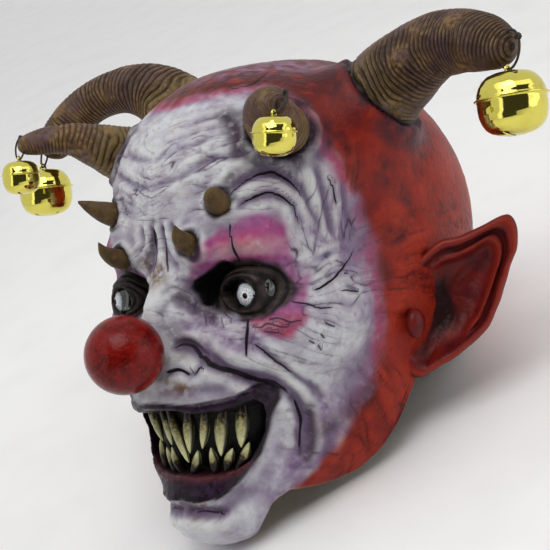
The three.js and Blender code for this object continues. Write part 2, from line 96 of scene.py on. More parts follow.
# Swellings and hollows: centre, radii, height.
SWELLINGS = [
    ((0, -116, 146), (9, 30, 13), 9),  # bridge of the nose
    ((0, -120, 124), (17, 30, 17), 9),  # root of the ball nose
    ((17, -117, 112), (8, 20, 8), 6),  # nostril wing
    ((0, -125, 98), (26, 30, 11), 7),  # shelf over the upper lip
    ((45, -96, 116), (19, 30, 15), 8),  # smiling cheek
    ((30, -106, 171), (17, 30, 8), 5),  # brow ridge
    ((56, -92, 172), (16, 30, 9), 5),  # outer brow ridge
    ((46, -99, 149), (25, 30, 14), -12),  # eye socket
    ((28, -108, 150), (13, 30, 11), -6),  # inner corner of the socket
    ((50, -97, 130), (20, 30, 6), 2.5),  # bag under the eye
    ((0, -108, 17), (24, 30, 15), 3),  # ball of the chin
    ((86, -38, 176), (20, 26, 26), -5),  # temple
    ((76, -38, 88), (16, 26, 26), -5),  # hollow of the cheek
]

# Lines that are both modelled and inked: two arches over the brow, round the nostril and under it.
ARCH = [(46, -100, 200), (52, -96, 207.5), (58, -89.2, 211.2), (64.5, -82.5, 211.5), (71.2, -74.5, 203.5),
        (74, -71, 194)]
LOWER_ARCH = [(46, -99, 193), (54, -94.3, 197.5), (58, -89.5, 199.5), (62.5, -84.5, 200), (69.5, -76.5, 193),
              (71.4, -74, 180)]
NOSTRIL = [(11.9, -117.2, 120.2), (16.2, -116.2, 122.6), (21.4, -114.7, 120.2), (24.5, -113.6, 116.6),
           (26.8, -113, 112), (24.5, -115, 106.8)]
UNDER_NOSTRIL = [(8.8, -120, 107.8), (13.1, -118.7, 109.1), (18.5, -117.1, 109.2), (21.5, -116.8, 105.6)]

# Folds: depth, half width, and the line each runs along.
FOLDS = [
    (5.5, 3.4, [(13, -117, 122), (24, -114, 118.5), (37, -107, 108.5), (47.5, -98, 101.5), (55, -87, 94),
                (59.5, -77, 83), (59, -71, 65), (54, -75, 50)]),  # smile fold
    (3.5, 3.0, [(66, -70, 92), (70, -62, 76), (67, -56, 60), (60, -60, 45)]),
    (3.2, 1.8, [*NOSTRIL, (20, -117, 105)]),
    (4.5, 2.8, [(0, -115, 27), (10, -114, 26), (18, -110, 26), (25, -104, 27)]),  # over the chin
    (3.4, 2.2, [(4, -114, 190), (4, -112, 180), (7, -111, 171), (12, -110, 163)]),  # frown
    (2.8, 2.0, [(12, -113, 190), (11, -111, 178), (15, -110, 168)]),
    (4.2, 2.8, ARCH),
    (3.2, 2.4, LOWER_ARCH),
    (2.6, 2.0, [(51.5, -98.5, 121), (57.8, -90.8, 109.7), (60.5, -80, 99.6), (65, -66, 88)]),  # cheek
    (2.0, 2.0, [(0, -114, 212), (16, -111, 214), (30, -106, 219), (44, -98, 223)]),  # forehead
    (1.8, 2.0, [(0, -109, 226), (18, -105, 229), (34, -98, 233)]),
    (1.6, 1.8, [(4, -100, 240), (20, -96, 243), (36, -88, 246)]),
    (2.4, 1.8, [(74, -78, 150), (80, -68, 147), (86, -58, 144), (92, -44, 140)]),  # crow's feet
    (2.4, 1.8, [(72, -80, 157), (80, -68, 162), (88, -52, 168)]),
    (2.0, 1.6, [(74, -78, 142), (82, -68, 133), (88, -52, 124)]),
    (2.6, 2.0, [(77, -62, 214), (79, -60, 200), (79, -58, 186), (80, -55, 172)]),  # temple
    (2.2, 1.8, [(73, -70, 206), (74, -68, 192), (77, -62, 178)]),
    (1.8, 1.6, [(83, -48, 206), (84, -46, 190), (85, -44, 176)]),
    (2.2, 1.8, [(30, -112, 133), (40, -108, 128), (52, -101, 124)]),  # under the eye bag
    (2.0, 1.6, [(10, -117, 160), (19, -113, 155), (24, -112, 146)]),  # side of the nose
    (1.8, 1.6, [(9, -119, 150), (16, -116, 143), (24, -113, 137)]),
    (1.8, 1.6, [(10, -121, 139), (18, -117, 132), (28, -113, 128)]),
    (2.4, 1.5, UNDER_NOSTRIL),
]
DEEP_FOLDS = 13  # the lining follows only this many, from the first

# Half outlines of the mouth, x and z.
MOUTH_OPENING = [(0, 87), (12, 86.5), (20, 84), (33, 84.5), (42, 87), (46, 88.5), (48.5, 85.5), (48, 79),
                 (45.5, 70), (41, 61), (37, 54.5), (31, 50.5), (22, 48), (11, 47.5), (0, 48)]
LIP_OUTLINE = [(0, 91.4), (22, 90), (33, 91), (40, 92.4), (44.5, 95), (47.5, 97.6), (51.5, 97.6), (55, 93.5),
               (54.5, 87.5), (50.5, 79), (47, 69), (42, 57), (31.5, 43.5), (22, 34.5), (12, 33), (0, 34)]
PEEPHOLE = [(17.5, 154.5), (27, 160.5), (39.5, 165.5), (40, 161.5), (30, 154.5), (27, 147), (27, 142.5),
            (23.5, 143), (20, 148)]
PEEPHOLE_REACH = (-140, -70)  # it is cut between these y

# Rim of the neck opening: azimuth from the face in degrees, latitude along the head.
RIM = [(0, 274), (12, 272), (22, 266), (32, 252), (42, 246), (57, 248.6), (71, 249), (84, 245), (93, 235),
       (96, 213), (99.5, 196), (106, 189), (117, 183), (135, 179), (155, 176), (180, 174.5)]

EYE_HEIGHT = 147.0
EYES = {  # middle of each eyeball, and from there to its iris
    "left": ((48.5, -88.0, EYE_HEIGHT), (0.7, -11.9, -1.3)),
    "right": ((-52.0, -87.0, EYE_HEIGHT), (-5.5, -10.6, 0.0)),
}
EYE_RADII = np.array([14.0, 12.0, 13.0])
LID_HALF = 11.9  # half the width of the opening between the lids
BEHIND_EYES = -82.0  # the skin passes behind the eyeballs at this y
NOSE_AT = np.array([0.0, -147.0, 121.0])
NOSE_RADIUS = 21.75

# Horns and thorns: middle line and radii.
HORNS = {
    "rear_left": ([(68, 4, 240), (84, 2, 254), (100, 0, 263), (123, -6, 270.5), (143, -12, 271),
                   (163, -19, 267), (177, -24, 262), (186, -27, 260)],
                  [27, 25.5, 23.5, 20, 18.2, 16.3, 12.3, 6.4]),
    "rear_right": ([(-66, 6, 245), (-84, 0.5, 268), (-103.5, -3.5, 281.5), (-127.6, -8.5, 286),
                    (-151.7, -14.5, 281), (-172, -21, 268), (-185, -25.5, 255), (-191, -27, 248.5)],
                   [28, 25, 20.5, 16, 14.8, 14.4, 12, 6]),
    "front_left": ([(52, -56, 231), (62, -70, 233.5), (69, -85, 238.5), (77, -98, 241.5), (87, -108, 243.5),
                    (98, -116, 243.6), (107, -121, 241)], [16.5, 16.5, 15.5, 13, 10.3, 8.4, 4.8]),
    "front_right": ([(-52, -56, 231), (-65, -71, 236), (-70, -85, 241.5), (-77, -98, 246.7),
                     (-86, -108, 248), (-95, -116, 247), (-103, -121, 245)],
                    [20, 18, 14.7, 11, 8.8, 7.8, 4.9]),
}
THORNS = {
    "big_thorn_left": ([(38, -98, 196), (44, -108.5, 198.5), (49, -116, 201), (53, -121.5, 203.3)],
                       [7.8, 7.2, 5.6, 2.2]),
    "big_thorn_right": ([(-38, -98, 195.5), (-44, -109, 200), (-49, -117, 204.5), (-53.2, -121.7, 208.2)],
                        [8.2, 7.2, 4.2, 1]),
    "small_thorn_left": ([(24.5, -111, 176), (26, -118.5, 178.5), (28.5, -125, 182.5), (31, -129, 187.5)],
                         [6.5, 6, 4, 1]),
    "small_thorn_right": ([(-29.5, -111, 171.5), (-31, -118, 173.5), (-31.8, -124.5, 177.5),
                           (-31, -129, 183)], [6.5, 6, 4, 1]),
}

EAR_ORIGIN = np.array([90.0, 4.3, 0.0])
EAR_OUT = np.array([0.84, 0.54, 0.0])
EAR_FACE = np.array([0.54, -0.84, 0.0])
EAR_OUTLINE = [(9, 158), (17, 163), (29, 165), (41, 169), (53, 174), (59, 173.5), (62, 167), (61, 156),
               (57, 146), (52, 134), (47, 122), (41, 111), (31, 102), (19, 94), (9, 89), (3, 86), (-3, 84),
               (-10, 88), (-12, 101), (-11, 118), (-7, 136), (0, 150)]
EAR_MIDDLE = (20, 128)
# The ear's face and back from its middle out and back again: share of the outline, and depth in mm.
EAR_FRONT = [(0, -11), (0.2, -11), (0.35, -10.5), (0.5, -9), (0.66, -6), (0.76, -2.6), (0.83, 0.6), (0.88, 2),
             (0.92, 2.4), (0.96, 1.9), (0.99, 0.6)]
EAR_BACK = [(1.0, -0.8), (0.985, -2.6), (0.95, -4.4), (0.88, -6.5), (0.75, -10), (0.62, -13.5), (0.3, -17),
            (0, -18)]
EAR_ROWS = 84
EAR_FRONT_ROWS = 46
TRAGUS_AT = (94, -5, 117)
TRAGUS_RADII = (5, 7, 9)

# Teeth: root, tip and half width, x y z in mm.
UPPER_TEETH = [
    ((-34.5, -100, 84), (-27.5, -101, 67), 2.6), ((-21.8, -109, 84), (-19.7, -107, 65), 2.4),
    ((-9.5, -113.5, 84), (-8.6, -111, 64), 2.6), ((-2.5, -115, 84), (4.5, -112, 54.5), 2.9),
    ((10.2, -113.8, 84), (5.8, -111.5, 59.8), 3.1), ((19.9, -110.3, 84), (13.9, -109.7, 62.2), 2.6),
    ((28.7, -105.2, 84), (23.7, -105.3, 57.6), 4.2), ((37.2, -98.6, 84.5), (33.4, -98.8, 61.5), 4.2),
]
LOWER_TEETH = [
    ((-23.7, -101.5, 49.5), (-25, -104, 66), 2.4), ((-12.4, -105.5, 47), (-16.9, -107.5, 62), 2.6),
    ((-5.3, -107, 47), (-10.5, -109.3, 63), 2.4), ((3.2, -107.5, 47), (10.1, -109.4, 61.4), 2.8),
    ((17.5, -104, 47), (18, -106.9, 62.7), 2.4), ((23.5, -101.5, 48), (29, -101.1, 61.5), 2.9),
    ((29, -98, 50), (36.8, -95.3, 63.9), 3),
]

# The taper of a tooth: the place along it from root to tip, and the share of its half width.
TOOTH_TAPER = [(-0.18, 0.55), (0, 0.8), (0.25, 0.98), (0.5, 1.0), (0.75, 0.72), (0.9, 0.4), (0.97, 0.18),
               (1, 0.02)]
TOOTH_THICK = 3.2

# Bells: middle, way up, body radius, the tie's top over the horn tip, its half width, the way it
# passes the loop, and where along it the knot sits.
BELLS = {
    "rear_left": dict(at=(183, -27.5, 231.8), up=(-0.05, 0, 1), r=18.6, tie_top=(186.5, -27, 268.6),
                      tie_half=5.6, through=(1, 0, 0), knot=0.8),
    "rear_right": dict(at=(-188.3, -34.2, 223.8), up=(0, 0, 1), r=18.6, tie_top=(-189, -27.5, 261),
                       tie_half=3.6, through=(1, 0, 0), knot=0.0),
    "front_left": dict(at=(106, -128, 225.8), up=(0.1, 0, 1), r=11.4, tie_top=(107.5, -117.2, 247.5),
                       tie_half=2.7, through=(0.98, 0.19, 0), knot=0.0),
    "front_right": dict(at=(-98, -125, 227.4), up=(0, 0, 1), r=11.4, tie_top=(-101, -119.6, 251.6),
                        tie_half=2.7, through=(0.86, 0.51, 0), knot=0.0),
}
BELL_OUTSIDE = [(0, .86), (.2, .86), (.44, .845), (.64, .78), (.78, .67), (.9, .5), (.965, .33), (.985, .21),
                (1.0, .175), (1.055, .17), (1.06, .145), (1.055, .12), (1.0, .115), (.985, .08), (.99, -.1),
                (.975, -.3), (.92, -.5), (.82, -.68), (.67, -.8), (.48, -.88), (.25, -.915), (0, -.92)]
BELL_INSIDE = [(0, .78), (.4, .76), (.7, .6), (.9, .3), (.92, 0), (.9, -.3), (.84, -.5), (.74, -.64),
               (.45, -.8), (0, -.84)]

# What is kept in hand, so that nothing stands past the solids' box.
SKIN_BACK = 0.5  # mm under the solids' skin
HORN_BACK = 0.55  # the same for horns and thorns
EYE_SHARE = 0.985  # of the solids' radii
BELL_SHARE = 0.994
THREAD_SHARE = 0.84
KNOT_SHARE = 0.79

# The picture's viewpoint, round the head's own frame.
VIEW = dict(azimuth=40.0, elevation=2.7, roll=-6.1, distance=771.6, focal=1221.0, centre=(292.8, 287.3))
PICTURE = 550.0
AIM = np.array([0.0, 0.0, 142.5])

# Half the width of the tent's dark opening, and the bright frame round it, as sines of angles.
WINDOW = 0.66
WINDOW_FRAME = 0.14


# Shaping helpers

def unit(v):
    """The same directions at length 1."""
    v = np.asarray(v, float)
    return v / np.maximum(np.linalg.norm(v, axis=-1, keepdims=True), 1e-9)


def ease(x):
    """A soft step from 0 to 1 while x goes from 0 to 1."""
    x = np.clip(x, 0.0, 1.0)
    return x * x * (3 - 2 * x)


def bell_curve(x):
    """1 at zero, fading out on both sides."""
    return np.exp(-x * x)


def spline(a, b, c, d, u):
    """A smooth curve from b to c as u goes from 0 to 1, led on by a and d."""
    return 0.5 * (2 * b + (c - a) * u + (2 * a - 5 * b + 4 * c - d) * u**2 + (3 * b - 3 * c + d - a) * u**3)


def smooth_line(points, t):
    """Points of a smooth curve through the given ones, at t from 0 to 1."""
    p = np.asarray(points, float)
    p = np.vstack([2 * p[0] - p[1], p, 2 * p[-1] - p[-2]])
    u = np.clip(t, 0, 1) * (len(p) - 3)
    i = np.minimum(u.astype(int), len(p) - 4)
    return spline(p[i], p[i + 1], p[i + 2], p[i + 3], (u - i)[:, None])


def catmull_loop(outline, count):
    """A smooth closed outline through the points."""
    p = np.asarray(outline, float)
    u = np.arange(count) * len(p) / count
    i = u.astype(int)
    return spline(p[i - 1], p[i], p[(i + 1) % len(p)], p[(i + 2) % len(p)], (u % 1)[:, None])


def hashed(i, j, k, seed):
    """A number in -1..1 for each cell, the same each time for the same seed."""
    h = (i * 73856093) ^ (j * 19349663) ^ (k * 83492791) ^ (seed * 2654435761)
    h &= 0xFFFFFFFF
    h = ((h ^ (h >> 15)) * 2246822519) & 0xFFFFFFFF
    h = ((h ^ (h >> 13)) * 3266489917) & 0xFFFFFFFF
    return ((h ^ (h >> 16)) & 0xFFFF) / 32767.5 - 1.0


def noise(p, scale, seed=0):
    """Smooth noise in -1..1 whose lumps are about scale mm across."""
    q = np.asarray(p, float) / scale
    i = np.floor(q).astype(np.int64)
    f = q - i
    f = f * f * (3 - 2 * f)
    out = 0.0
    for dx in (0, 1):
        wx = f[:, 0] if dx else 1 - f[:, 0]
        for dy in (0, 1):
            wy = f[:, 1] if dy else 1 - f[:, 1]
            for dz in (0, 1):
                wz = f[:, 2] if dz else 1 - f[:, 2]
                out = out + wx * wy * wz * hashed(i[:, 0] + dx, i[:, 1] + dy, i[:, 2] + dz, seed)
    return out


def layered(p, scale, seed=0, layers=3):
    """Noise with finer and fainter noise laid over it."""
    total = sum(0.5**n * noise(p, scale / 2.0**n, seed + 17 * n) for n in range(layers))
    return total / (2 - 0.5 ** (layers - 1))


def to_line(p, points, steps=10):
    """Distance to a smooth line, the place along it that is nearest, and which side of it a point is."""
    line = smooth_line(points, np.linspace(0, 1, (len(points) - 1) * steps + 1))
    best = np.full(len(p), 1e9)
    where, side = np.zeros(len(p)), np.ones(len(p))
    low, high = line.min(0) - 16, line.max(0) + 16
    near = np.all((p > low) & (p < high), axis=1)
    q = p[near]
    b, w, s = best[near], where[near], side[near]
    out = outward(q)
    for n in range(len(line) - 1):
        run = line[n + 1] - line[n]
        t = np.clip((q - line[n]) @ run / (run @ run), 0, 1)
        d = np.linalg.norm(q - line[n] - t[:, None] * run, axis=1)
        closer = d < b
        b[closer] = d[closer]
        w[closer] = (n + t[closer]) / (len(line) - 1)
        s[closer] = np.sign(((q - line[n]) * np.cross(run, out)).sum(1))[closer]
    best[near], where[near], side[near] = b, w, s
    return best, where, side


def near_polygon(x, z, outline):
    """Distance into a closed outline, negative outside."""
    loop = np.asarray(outline, float)
    best = np.full(len(x), 1e9)
    within = np.zeros(len(x), bool)
    for (ax, az), (bx, bz) in zip(loop, np.roll(loop, -1, 0)):
        ex, ez = bx - ax, bz - az
        t = np.clip(((x - ax) * ex + (z - az) * ez) / (ex * ex + ez * ez), 0, 1)
        best = np.minimum(best, np.hypot(x - ax - t * ex, z - az - t * ez))
        if ez:
            within ^= ((az > z) != (bz > z)) & (x < ax + (z - az) * ex / ez)
    return np.where(within, best, -best)


def into(x, z, half):
    """Distance into a half outline closed by its mirror image, negative outside."""
    return near_polygon(x, z, list(half) + [(-a, b) for a, b in half[-2:0:-1]])


def gap_to_horn(p, line, widths):
    """How far points are outside the root half of a horn, in mm."""
    t = np.linspace(0, 0.5, 24)
    r = np.interp(t, np.linspace(0, 1, len(widths)), widths)
    return (np.linalg.norm(p[:, None] - smooth_line(line, t)[None], axis=2) - r).min(1)


def gap_to_thorn(p, line, widths):
    """How far points are outside the root of a thorn, in mm."""
    root = np.array(line[:2], float)
    return (np.linalg.norm(p[:, None] - root[None], axis=2) - np.array(widths[:2])).min(1)


def ripples(u, width):
    """A crease at every whole u, 1 in the crease and 0 between; width is its share of the spacing."""
    return np.exp(-np.abs(u - np.round(u)) / width)


def lay_down(p):
    """From the head's own frame in mm to the table's frame in metres."""
    p = np.asarray(p, float)
    c, s = math.cos(LEAN), math.sin(LEAN)
    q = np.stack([p[..., 0], c * p[..., 1] + s * p[..., 2], c * p[..., 2] - s * p[..., 1]], -1)
    return (q + SEAT) / 1000


def stand_up(p):
    """The way back: from the table's frame in metres to the head's own frame in mm."""
    q = p * 1000 - SEAT
    c, s = math.cos(LEAN), math.sin(LEAN)
    return np.stack([q[:, 0], c * q[:, 1] - s * q[:, 2], s * q[:, 1] + c * q[:, 2]], -1)


def lay_turn(v):
    """A direction of the head's own frame in the table's frame."""
    return unit(lay_down(v) - lay_down(np.zeros(3)))


# The skin of the head

def axis_at(z):
    """The middle of the head at a height, from which its skin is measured outwards."""
    return np.stack([np.zeros_like(z), -25 * np.clip((110 - z) / 65, 0, 1), np.clip(z, LOW, HIGH)], -1)


def scan(latitude, azimuth):
    """Where a ray to the skin starts and which way it goes: level, or fanned out over and under."""
    under = 90 + HIGH - LOW
    tilt = np.radians(np.where(latitude < 90, 90 - latitude, np.where(latitude > under, under - latitude, 0)))
    way = np.stack([np.cos(tilt) * np.sin(azimuth), -np.cos(tilt) * np.cos(azimuth), np.sin(tilt)], -1)
    return axis_at(HIGH - (latitude - 90)), way


def bare(latitude, azimuth):
    """The blended outermost surface of the head's masses."""
    start, way = scan(latitude, azimuth)
    hits = []
    for centre, radii in MASSES:
        for side in ((1, -1) if centre[0] else (1,)):
            c = np.array(centre) * (side, 1, 1)
            q, e = (start - c) / radii, way / radii
            a, b = (e * e).sum(-1), (e * q).sum(-1)
            inside = b * b - a * ((q * q).sum(-1) - 1)
            hits.append(np.where(inside > 0, (-b + np.sqrt(np.maximum(inside, 0))) / a, 0))
    hits = np.array(hits)
    most = hits.max(0)
    reach = most + BLEND * np.log(np.exp((hits - most) / BLEND).sum(0))
    return start + way * reach[..., None]


def azimuths(count):
    """Angles round the head, closer together towards the face."""
    fine = np.linspace(-math.pi, math.pi, 4001)
    total = np.concatenate([[0], np.cumsum(1 + 2.2 * np.exp(-((fine[1:] / 0.95) ** 4)))])
    return np.interp(np.arange(count) * total[-1] / count, total, fine)


def latitudes(azimuth, crown, face, jaw):
    """Rows from the crown down to the rim of the neck opening at each azimuth."""
    rim = np.interp(np.degrees(np.abs(azimuth)), *zip(*RIM))
    over = 90 * (np.arange(1, crown + 1) / crown) ** 0.8
    top = np.concatenate([over, 90 + 60 * np.arange(1, face + 1) / face])
    low = 150 + (rim[None, :] - 150) * np.arange(1, jaw + 1)[:, None] / jaw
    return np.vstack([np.repeat(top[:, None], len(azimuth), 1), low])


def outward(p):
    """The way out of the head at each point."""
    middle = np.stack([np.zeros(len(p)), np.full(len(p), -10.0), np.clip(p[:, 2], 60, 185)], -1)
    return unit(p - middle)


def swell(q, centre, radii):
    """A soft lump, 1 in its middle and fading over its radii."""
    return np.exp(-(((q - centre) / radii) ** 2).sum(-1))


def almond(x, z):
    """How far inside the opening between the eyelids a place is, in mm, negative outside."""
    u = np.clip(x / LID_HALF, -3, 3)
    top = EYE_HEIGHT + 7.6 * (1 - np.abs(u) ** 2.6) + 0.8 * u
    low = EYE_HEIGHT - 7.4 * (1 - np.abs(u) ** 2.6) + 0.8 * u
    return np.minimum(np.minimum(top - z, z - low), LID_HALF - np.abs(x))


def wandering(across, along, spacing, length, seed, side=0.0):
    """Long lumps in mm across and along; a crease runs wherever this passes zero."""
    q = np.stack([across / spacing, along / length, 0.37 * seed + side + 0 * across], -1)
    return noise(q, 1.0, seed) + 0.45 * noise(q, 0.48, seed + 7)


def creases(p):
    """The lesser wrinkles: broad and fine lumps that pass zero in each crease, depth in mm and strength."""
    x, y, z = np.abs(p[:, 0]), p[:, 1], p[:, 2]
    left = np.where(p[:, 0] < 0, 5.0, 0.0)
    face = ease((-y - 30) / 40)
    warp = 5 * layered(p, 30, 11)
    around = np.hypot((x - 50) / 1.25, z - EYE_HEIGHT)
    angle = np.arctan2(z - 146, x - 56)
    fan = ease((x - 62) / 8) * ease((104 - x) / 14) * ease((0.9 - np.abs(angle - 0.1)) / 0.4)
    # Where each kind lies, its depth, the measure across its creases and along them, their spacing and
    # length in mm, and a shift that makes the two sides differ.
    kinds = [
        (face * ease((z - 184) / 12) * ease((262 - z) / 40) * ease((72 - x) / 14), 0.55,
         z - 0.35 * x + 0.003 * x * x + warp, p[:, 0], 4.5, 26, 0.0),  # forehead
        (face * ease((around - 10) / 4) * ease((30 - around) / 8), 0.6,
         around + 0.5 * warp, angle * 24, 4, 26, left),  # round the eye
        (0.9 * fan, 0.75, angle * 26 + warp, np.hypot(x - 56, z - 146) - 0.6 * y, 5, 24, left),  # crow's feet
        (0.6 * face * ease((134 - z) / 6) * ease((z - 84) / 20) * ease((x - 26) / 8)
         * ease((92 - x) / 14), 0.5,
         0.62 * x + 0.78 * z + warp, 0.78 * x - 0.62 * z - y, 6, 24, left),  # under the eye
        (0.8 * ease((x - 64) / 10) * ease((z - 156) / 14) * ease((236 - z) / 16) * ease((-y - 24) / 18), 0.8,
         -y + 0.2 * z + warp, z, 5.5, 36, left),  # temple
        (face * ease((23 - x) / 7) * ease((z - 130) / 8) * ease((190 - z) / 12), 0.7,
         z + 0.02 * x * x + 0.6 * warp, p[:, 0], 4.5, 18, 0.0),  # bridge of the nose
        (0.7 * ease((x - 44) / 10) * ease((92 - z) / 16) * ease((z - 30) / 14) * ease((-y - 34) / 20), 0.7,
         0.9 * x + 0.35 * z - 0.2 * y + warp, z - 0.4 * x, 6, 30, left),  # beside the mouth
        (0.8 * ease((y + 50) / 22) * ease((112 - z) / 26) * ease((40 - y) / 34), 0.9,
         0.9 * y + 0.45 * z + warp, z - 0.5 * y, 7, 36, left),  # side of the neck
    ]
    total = sum(k[0] for k in kinds) + 1e-6
    broad = sum(k[0] * wandering(*k[2:6], 200 + n, k[6]) for n, k in enumerate(kinds)) / total
    fine = sum(k[0] * wandering(k[2], k[3], 0.5 * k[4], 0.5 * k[5], 220 + n, k[6])
               for n, k in enumerate(kinds)) / total
    depth = sum(k[0] * k[1] for k in kinds) / np.maximum(total, 1)
    patchy = ease(noise(p, 19, 12) + 0.8)
    return broad, fine, depth * patchy, np.clip(total, 0, 1) * patchy


def relief(p):
    """Everything modelled on the skin: the moved points."""
    drift = np.stack([noise(p, 22, s) for s in (1, 2, 3)], -1) * 1.6
    drift += np.stack([noise(p, 7, s) for s in (4, 5, 6)], -1) * 0.5
    q = np.stack([np.abs(p[:, 0]), p[:, 1], p[:, 2]], -1)
    w = q + drift
    x, z = q[:, 0], q[:, 2]
    rise = sum(h * swell(q, c, r) for c, r, h in SWELLINGS)
    for depth, width, line in FOLDS:
        s, t, _ = to_line(w, line)
        ends = ease(np.minimum(t, 1 - t) * 5 + 0.25)
        bank = 0.38 * bell_curve((s - 2.3 * width) / (1.2 * width))
        rise += ends * depth * (bank - np.exp(-s / width * 1.1))
    broad, fine, depth, _ = creases(p)
    rise += depth * (0.5 * np.clip(np.abs(broad), 0, 0.8) - np.exp(-np.abs(broad) / 0.2))
    rise += 0.3 * depth * np.clip(np.abs(fine), 0, 0.6)
    rise += 0.5 * layered(p, 12, 16) + 0.16 * noise(p, 2.6, 17)
    # The skin is drawn up in a lumpy collar where each horn and thorn comes out.
    lumps = 1 + 0.45 * noise(p, 7, 18)
    for line, widths in HORNS.values():
        gap = gap_to_horn(p, line, widths)
        rise += 3.2 * lumps * bell_curve((gap - 2.5) / 3.2) - 2.2 * bell_curve(gap / 1.5)
    for line, widths in THORNS.values():
        gap = gap_to_thorn(p, line, widths)
        rise += 2.0 * bell_curve((gap - 2.4) / 2.4) - 1.6 * bell_curve(gap / 1.2)
    # Lips round the open mouth.
    front = ease((-p[:, 1] - 55) / 15)
    lip_in, mouth_in = into(x, z, LIP_OUTLINE), into(x, z, MOUTH_OPENING)
    lip = ease((lip_in + 1.5) / 4) * front
    turn = np.arctan2(z - 66, x * 0.8)
    pout = 3 + 2 * ease((70 - z) / 25) - 0.5 * ripples(turn * 16 + noise(p, 9, 20), 0.2)
    rise += lip * pout - front * 2 * bell_curve((lip_in + 6) / 4)
    moved = p + outward(p) * (rise[:, None] - SKIN_BACK)
    moved[:, 1] += front * ease((mouth_in + 1) / 3.5) * MOUTH_DEPTH
    # Eyelids follow the eyeball, and the skin passes behind it inside their opening.
    eye = np.where(p[:, :1] > 0, EYES["left"][0], EYES["right"][0])
    aside = (p[:, 0] - eye[:, 0]) * np.sign(p[:, 0])
    u, v = aside / (EYE_RADII[0] + 5), (z - eye[:, 2]) / (EYE_RADII[2] + 5)
    over = np.sqrt(np.maximum(0.0, 1 - u * u - v * v))
    around = np.hypot(aside / 1.35, z - EYE_HEIGHT)
    lid = eye[:, 1] - (EYE_RADII[1] + 2.4) * over - 0.8 * ripples(around / 2.6 + 0.3 * noise(p, 12, 21), 0.2)
    hold = ease((1.0 - np.hypot(u, v)) / 0.2) * front
    moved[:, 1] += hold * (np.minimum(lid, moved[:, 1]) - moved[:, 1])
    # The right eye is half closed towards the nose.
    sight = np.where(p[:, 0] > 0, aside - 0.2, (aside - 2.8) / 0.72)
    open_ = ease((almond(sight, z) + 0.7) / 1.4) * front
    moved[:, 1] += open_ * (BEHIND_EYES - moved[:, 1])
    return moved


def lining(p):
    """The inside of the wall: it follows the hollows but not the fine folds."""
    q = np.stack([np.abs(p[:, 0]), p[:, 1], p[:, 2]], -1)
    sink = np.full(len(p), WALL)
    for c, r, h in SWELLINGS:
        if h < 0:
            sink -= h * swell(q, c, r)
    for depth, width, line in FOLDS[:DEEP_FOLDS]:
        sink += 0.8 * depth * bell_curve(to_line(q, line)[0] / (2.6 * width))
    sink += 3 * bell_curve(np.linalg.norm(q - (51, -87, 147), axis=1) / 24)
    front = ease((-p[:, 1] - 45) / 15)
    out = p - outward(p) * sink[:, None]
    out[:, 1] += front * ease((into(q[:, 0], q[:, 2], MOUTH_OPENING) + 12) / 8) * MOUTH_DEPTH
    return out


def skin_mesh(columns, crown, face, jaw):
    """The closed wall of the head: outer skin, rolled rim and lining."""
    az = azimuths(columns)
    lat = latitudes(az, crown, face, jaw)
    base = bare(lat, np.broadcast_to(az, lat.shape)).reshape(-1, 3)
    outer = relief(base)
    az2 = az[::2]
    lat2 = latitudes(az2, crown // 4, face // 4, jaw // 4)
    inner = lining(bare(lat2, np.broadcast_to(az2, lat2.shape)).reshape(-1, 3))
    zero = np.zeros(1)
    poles = np.vstack([relief(bare(zero, zero)), lining(bare(zero, zero))])
    verts = np.vstack([outer, inner, poles])
    rows, rows2, n, n2 = lat.shape[0], lat2.shape[0], columns, columns // 2
    top, top2 = len(outer) + len(inner), len(outer) + len(inner) + 1
    faces = []
    a = np.arange(rows * n).reshape(rows, n)
    b = np.arange(rows2 * n2).reshape(rows2, n2) + rows * n
    right, right2 = np.roll(a, -1, 1), np.roll(b, -1, 1)
    faces += np.stack([a[1:], right[1:], right[:-1], a[:-1]], -1).reshape(-1, 4).tolist()
    faces += np.stack([b[:-1], right2[:-1], right2[1:], b[1:]], -1).reshape(-1, 4).tolist()
    faces += [[i, j, top] for i, j in zip(a[0], right[0])]
    faces += [[j, i, top2] for i, j in zip(b[0], right2[0])]
    for k in range(n2):
        i, j, m = a[-1, 2 * k], a[-1, 2 * k + 1], right[-1, 2 * k + 1]
        p, r = b[-1, k], right2[-1, k]
        faces += [[j, i, p], [j, p, r], [m, j, r]]
    return verts, faces, base, lat.shape


def held_in_wall(p, depth):
    """Points below the skin are brought up to lie this deep under it; also how far each is outside."""
    z = p[:, 2]
    start = axis_at(z)
    d = p - start
    azimuth = np.arctan2(d[:, 0], -d[:, 1])
    tilt = np.degrees(np.arctan2(d[:, 2], np.hypot(d[:, 0], d[:, 1])))
    latitude = np.where(z > HIGH, 90 - tilt, np.where(z < LOW, 90 + HIGH - LOW - tilt, 90 + HIGH - z))
    wall = np.linalg.norm(bare(latitude, azimuth) - start, axis=1)
    reach = np.linalg.norm(d, axis=1)
    kept = np.maximum(reach, wall - depth)
    return start + d * (kept / np.maximum(reach, 1e-6))[:, None], reach - wall


# Other shapes

def turns(count):
    """Angles evenly round a circle."""
    return np.arange(count) * 2 * math.pi / count


def capped(rows, columns, flipped=False):
    """Faces over rings of points, closed at either end by one of the two points that follow them."""
    n = rows * columns
    a = np.arange(n).reshape(rows, columns)
    r = np.roll(a, -1, 1)
    faces = np.stack([a[:-1], r[:-1], r[1:], a[1:]], -1).reshape(-1, 4).tolist()
    faces += [[j, i, n] for i, j in zip(a[0], r[0])]
    faces += [[i, j, n + 1] for i, j in zip(a[-1], r[-1])]
    return [f[::-1] for f in faces] if flipped else faces


def prism_faces(n):
    """Faces of a prism whose points are given end by end."""
    sides = [[k, (k + 1) % n, n + (k + 1) % n, n + k] for k in range(n)]
    return sides + [list(range(n))[::-1], list(range(n, 2 * n))]


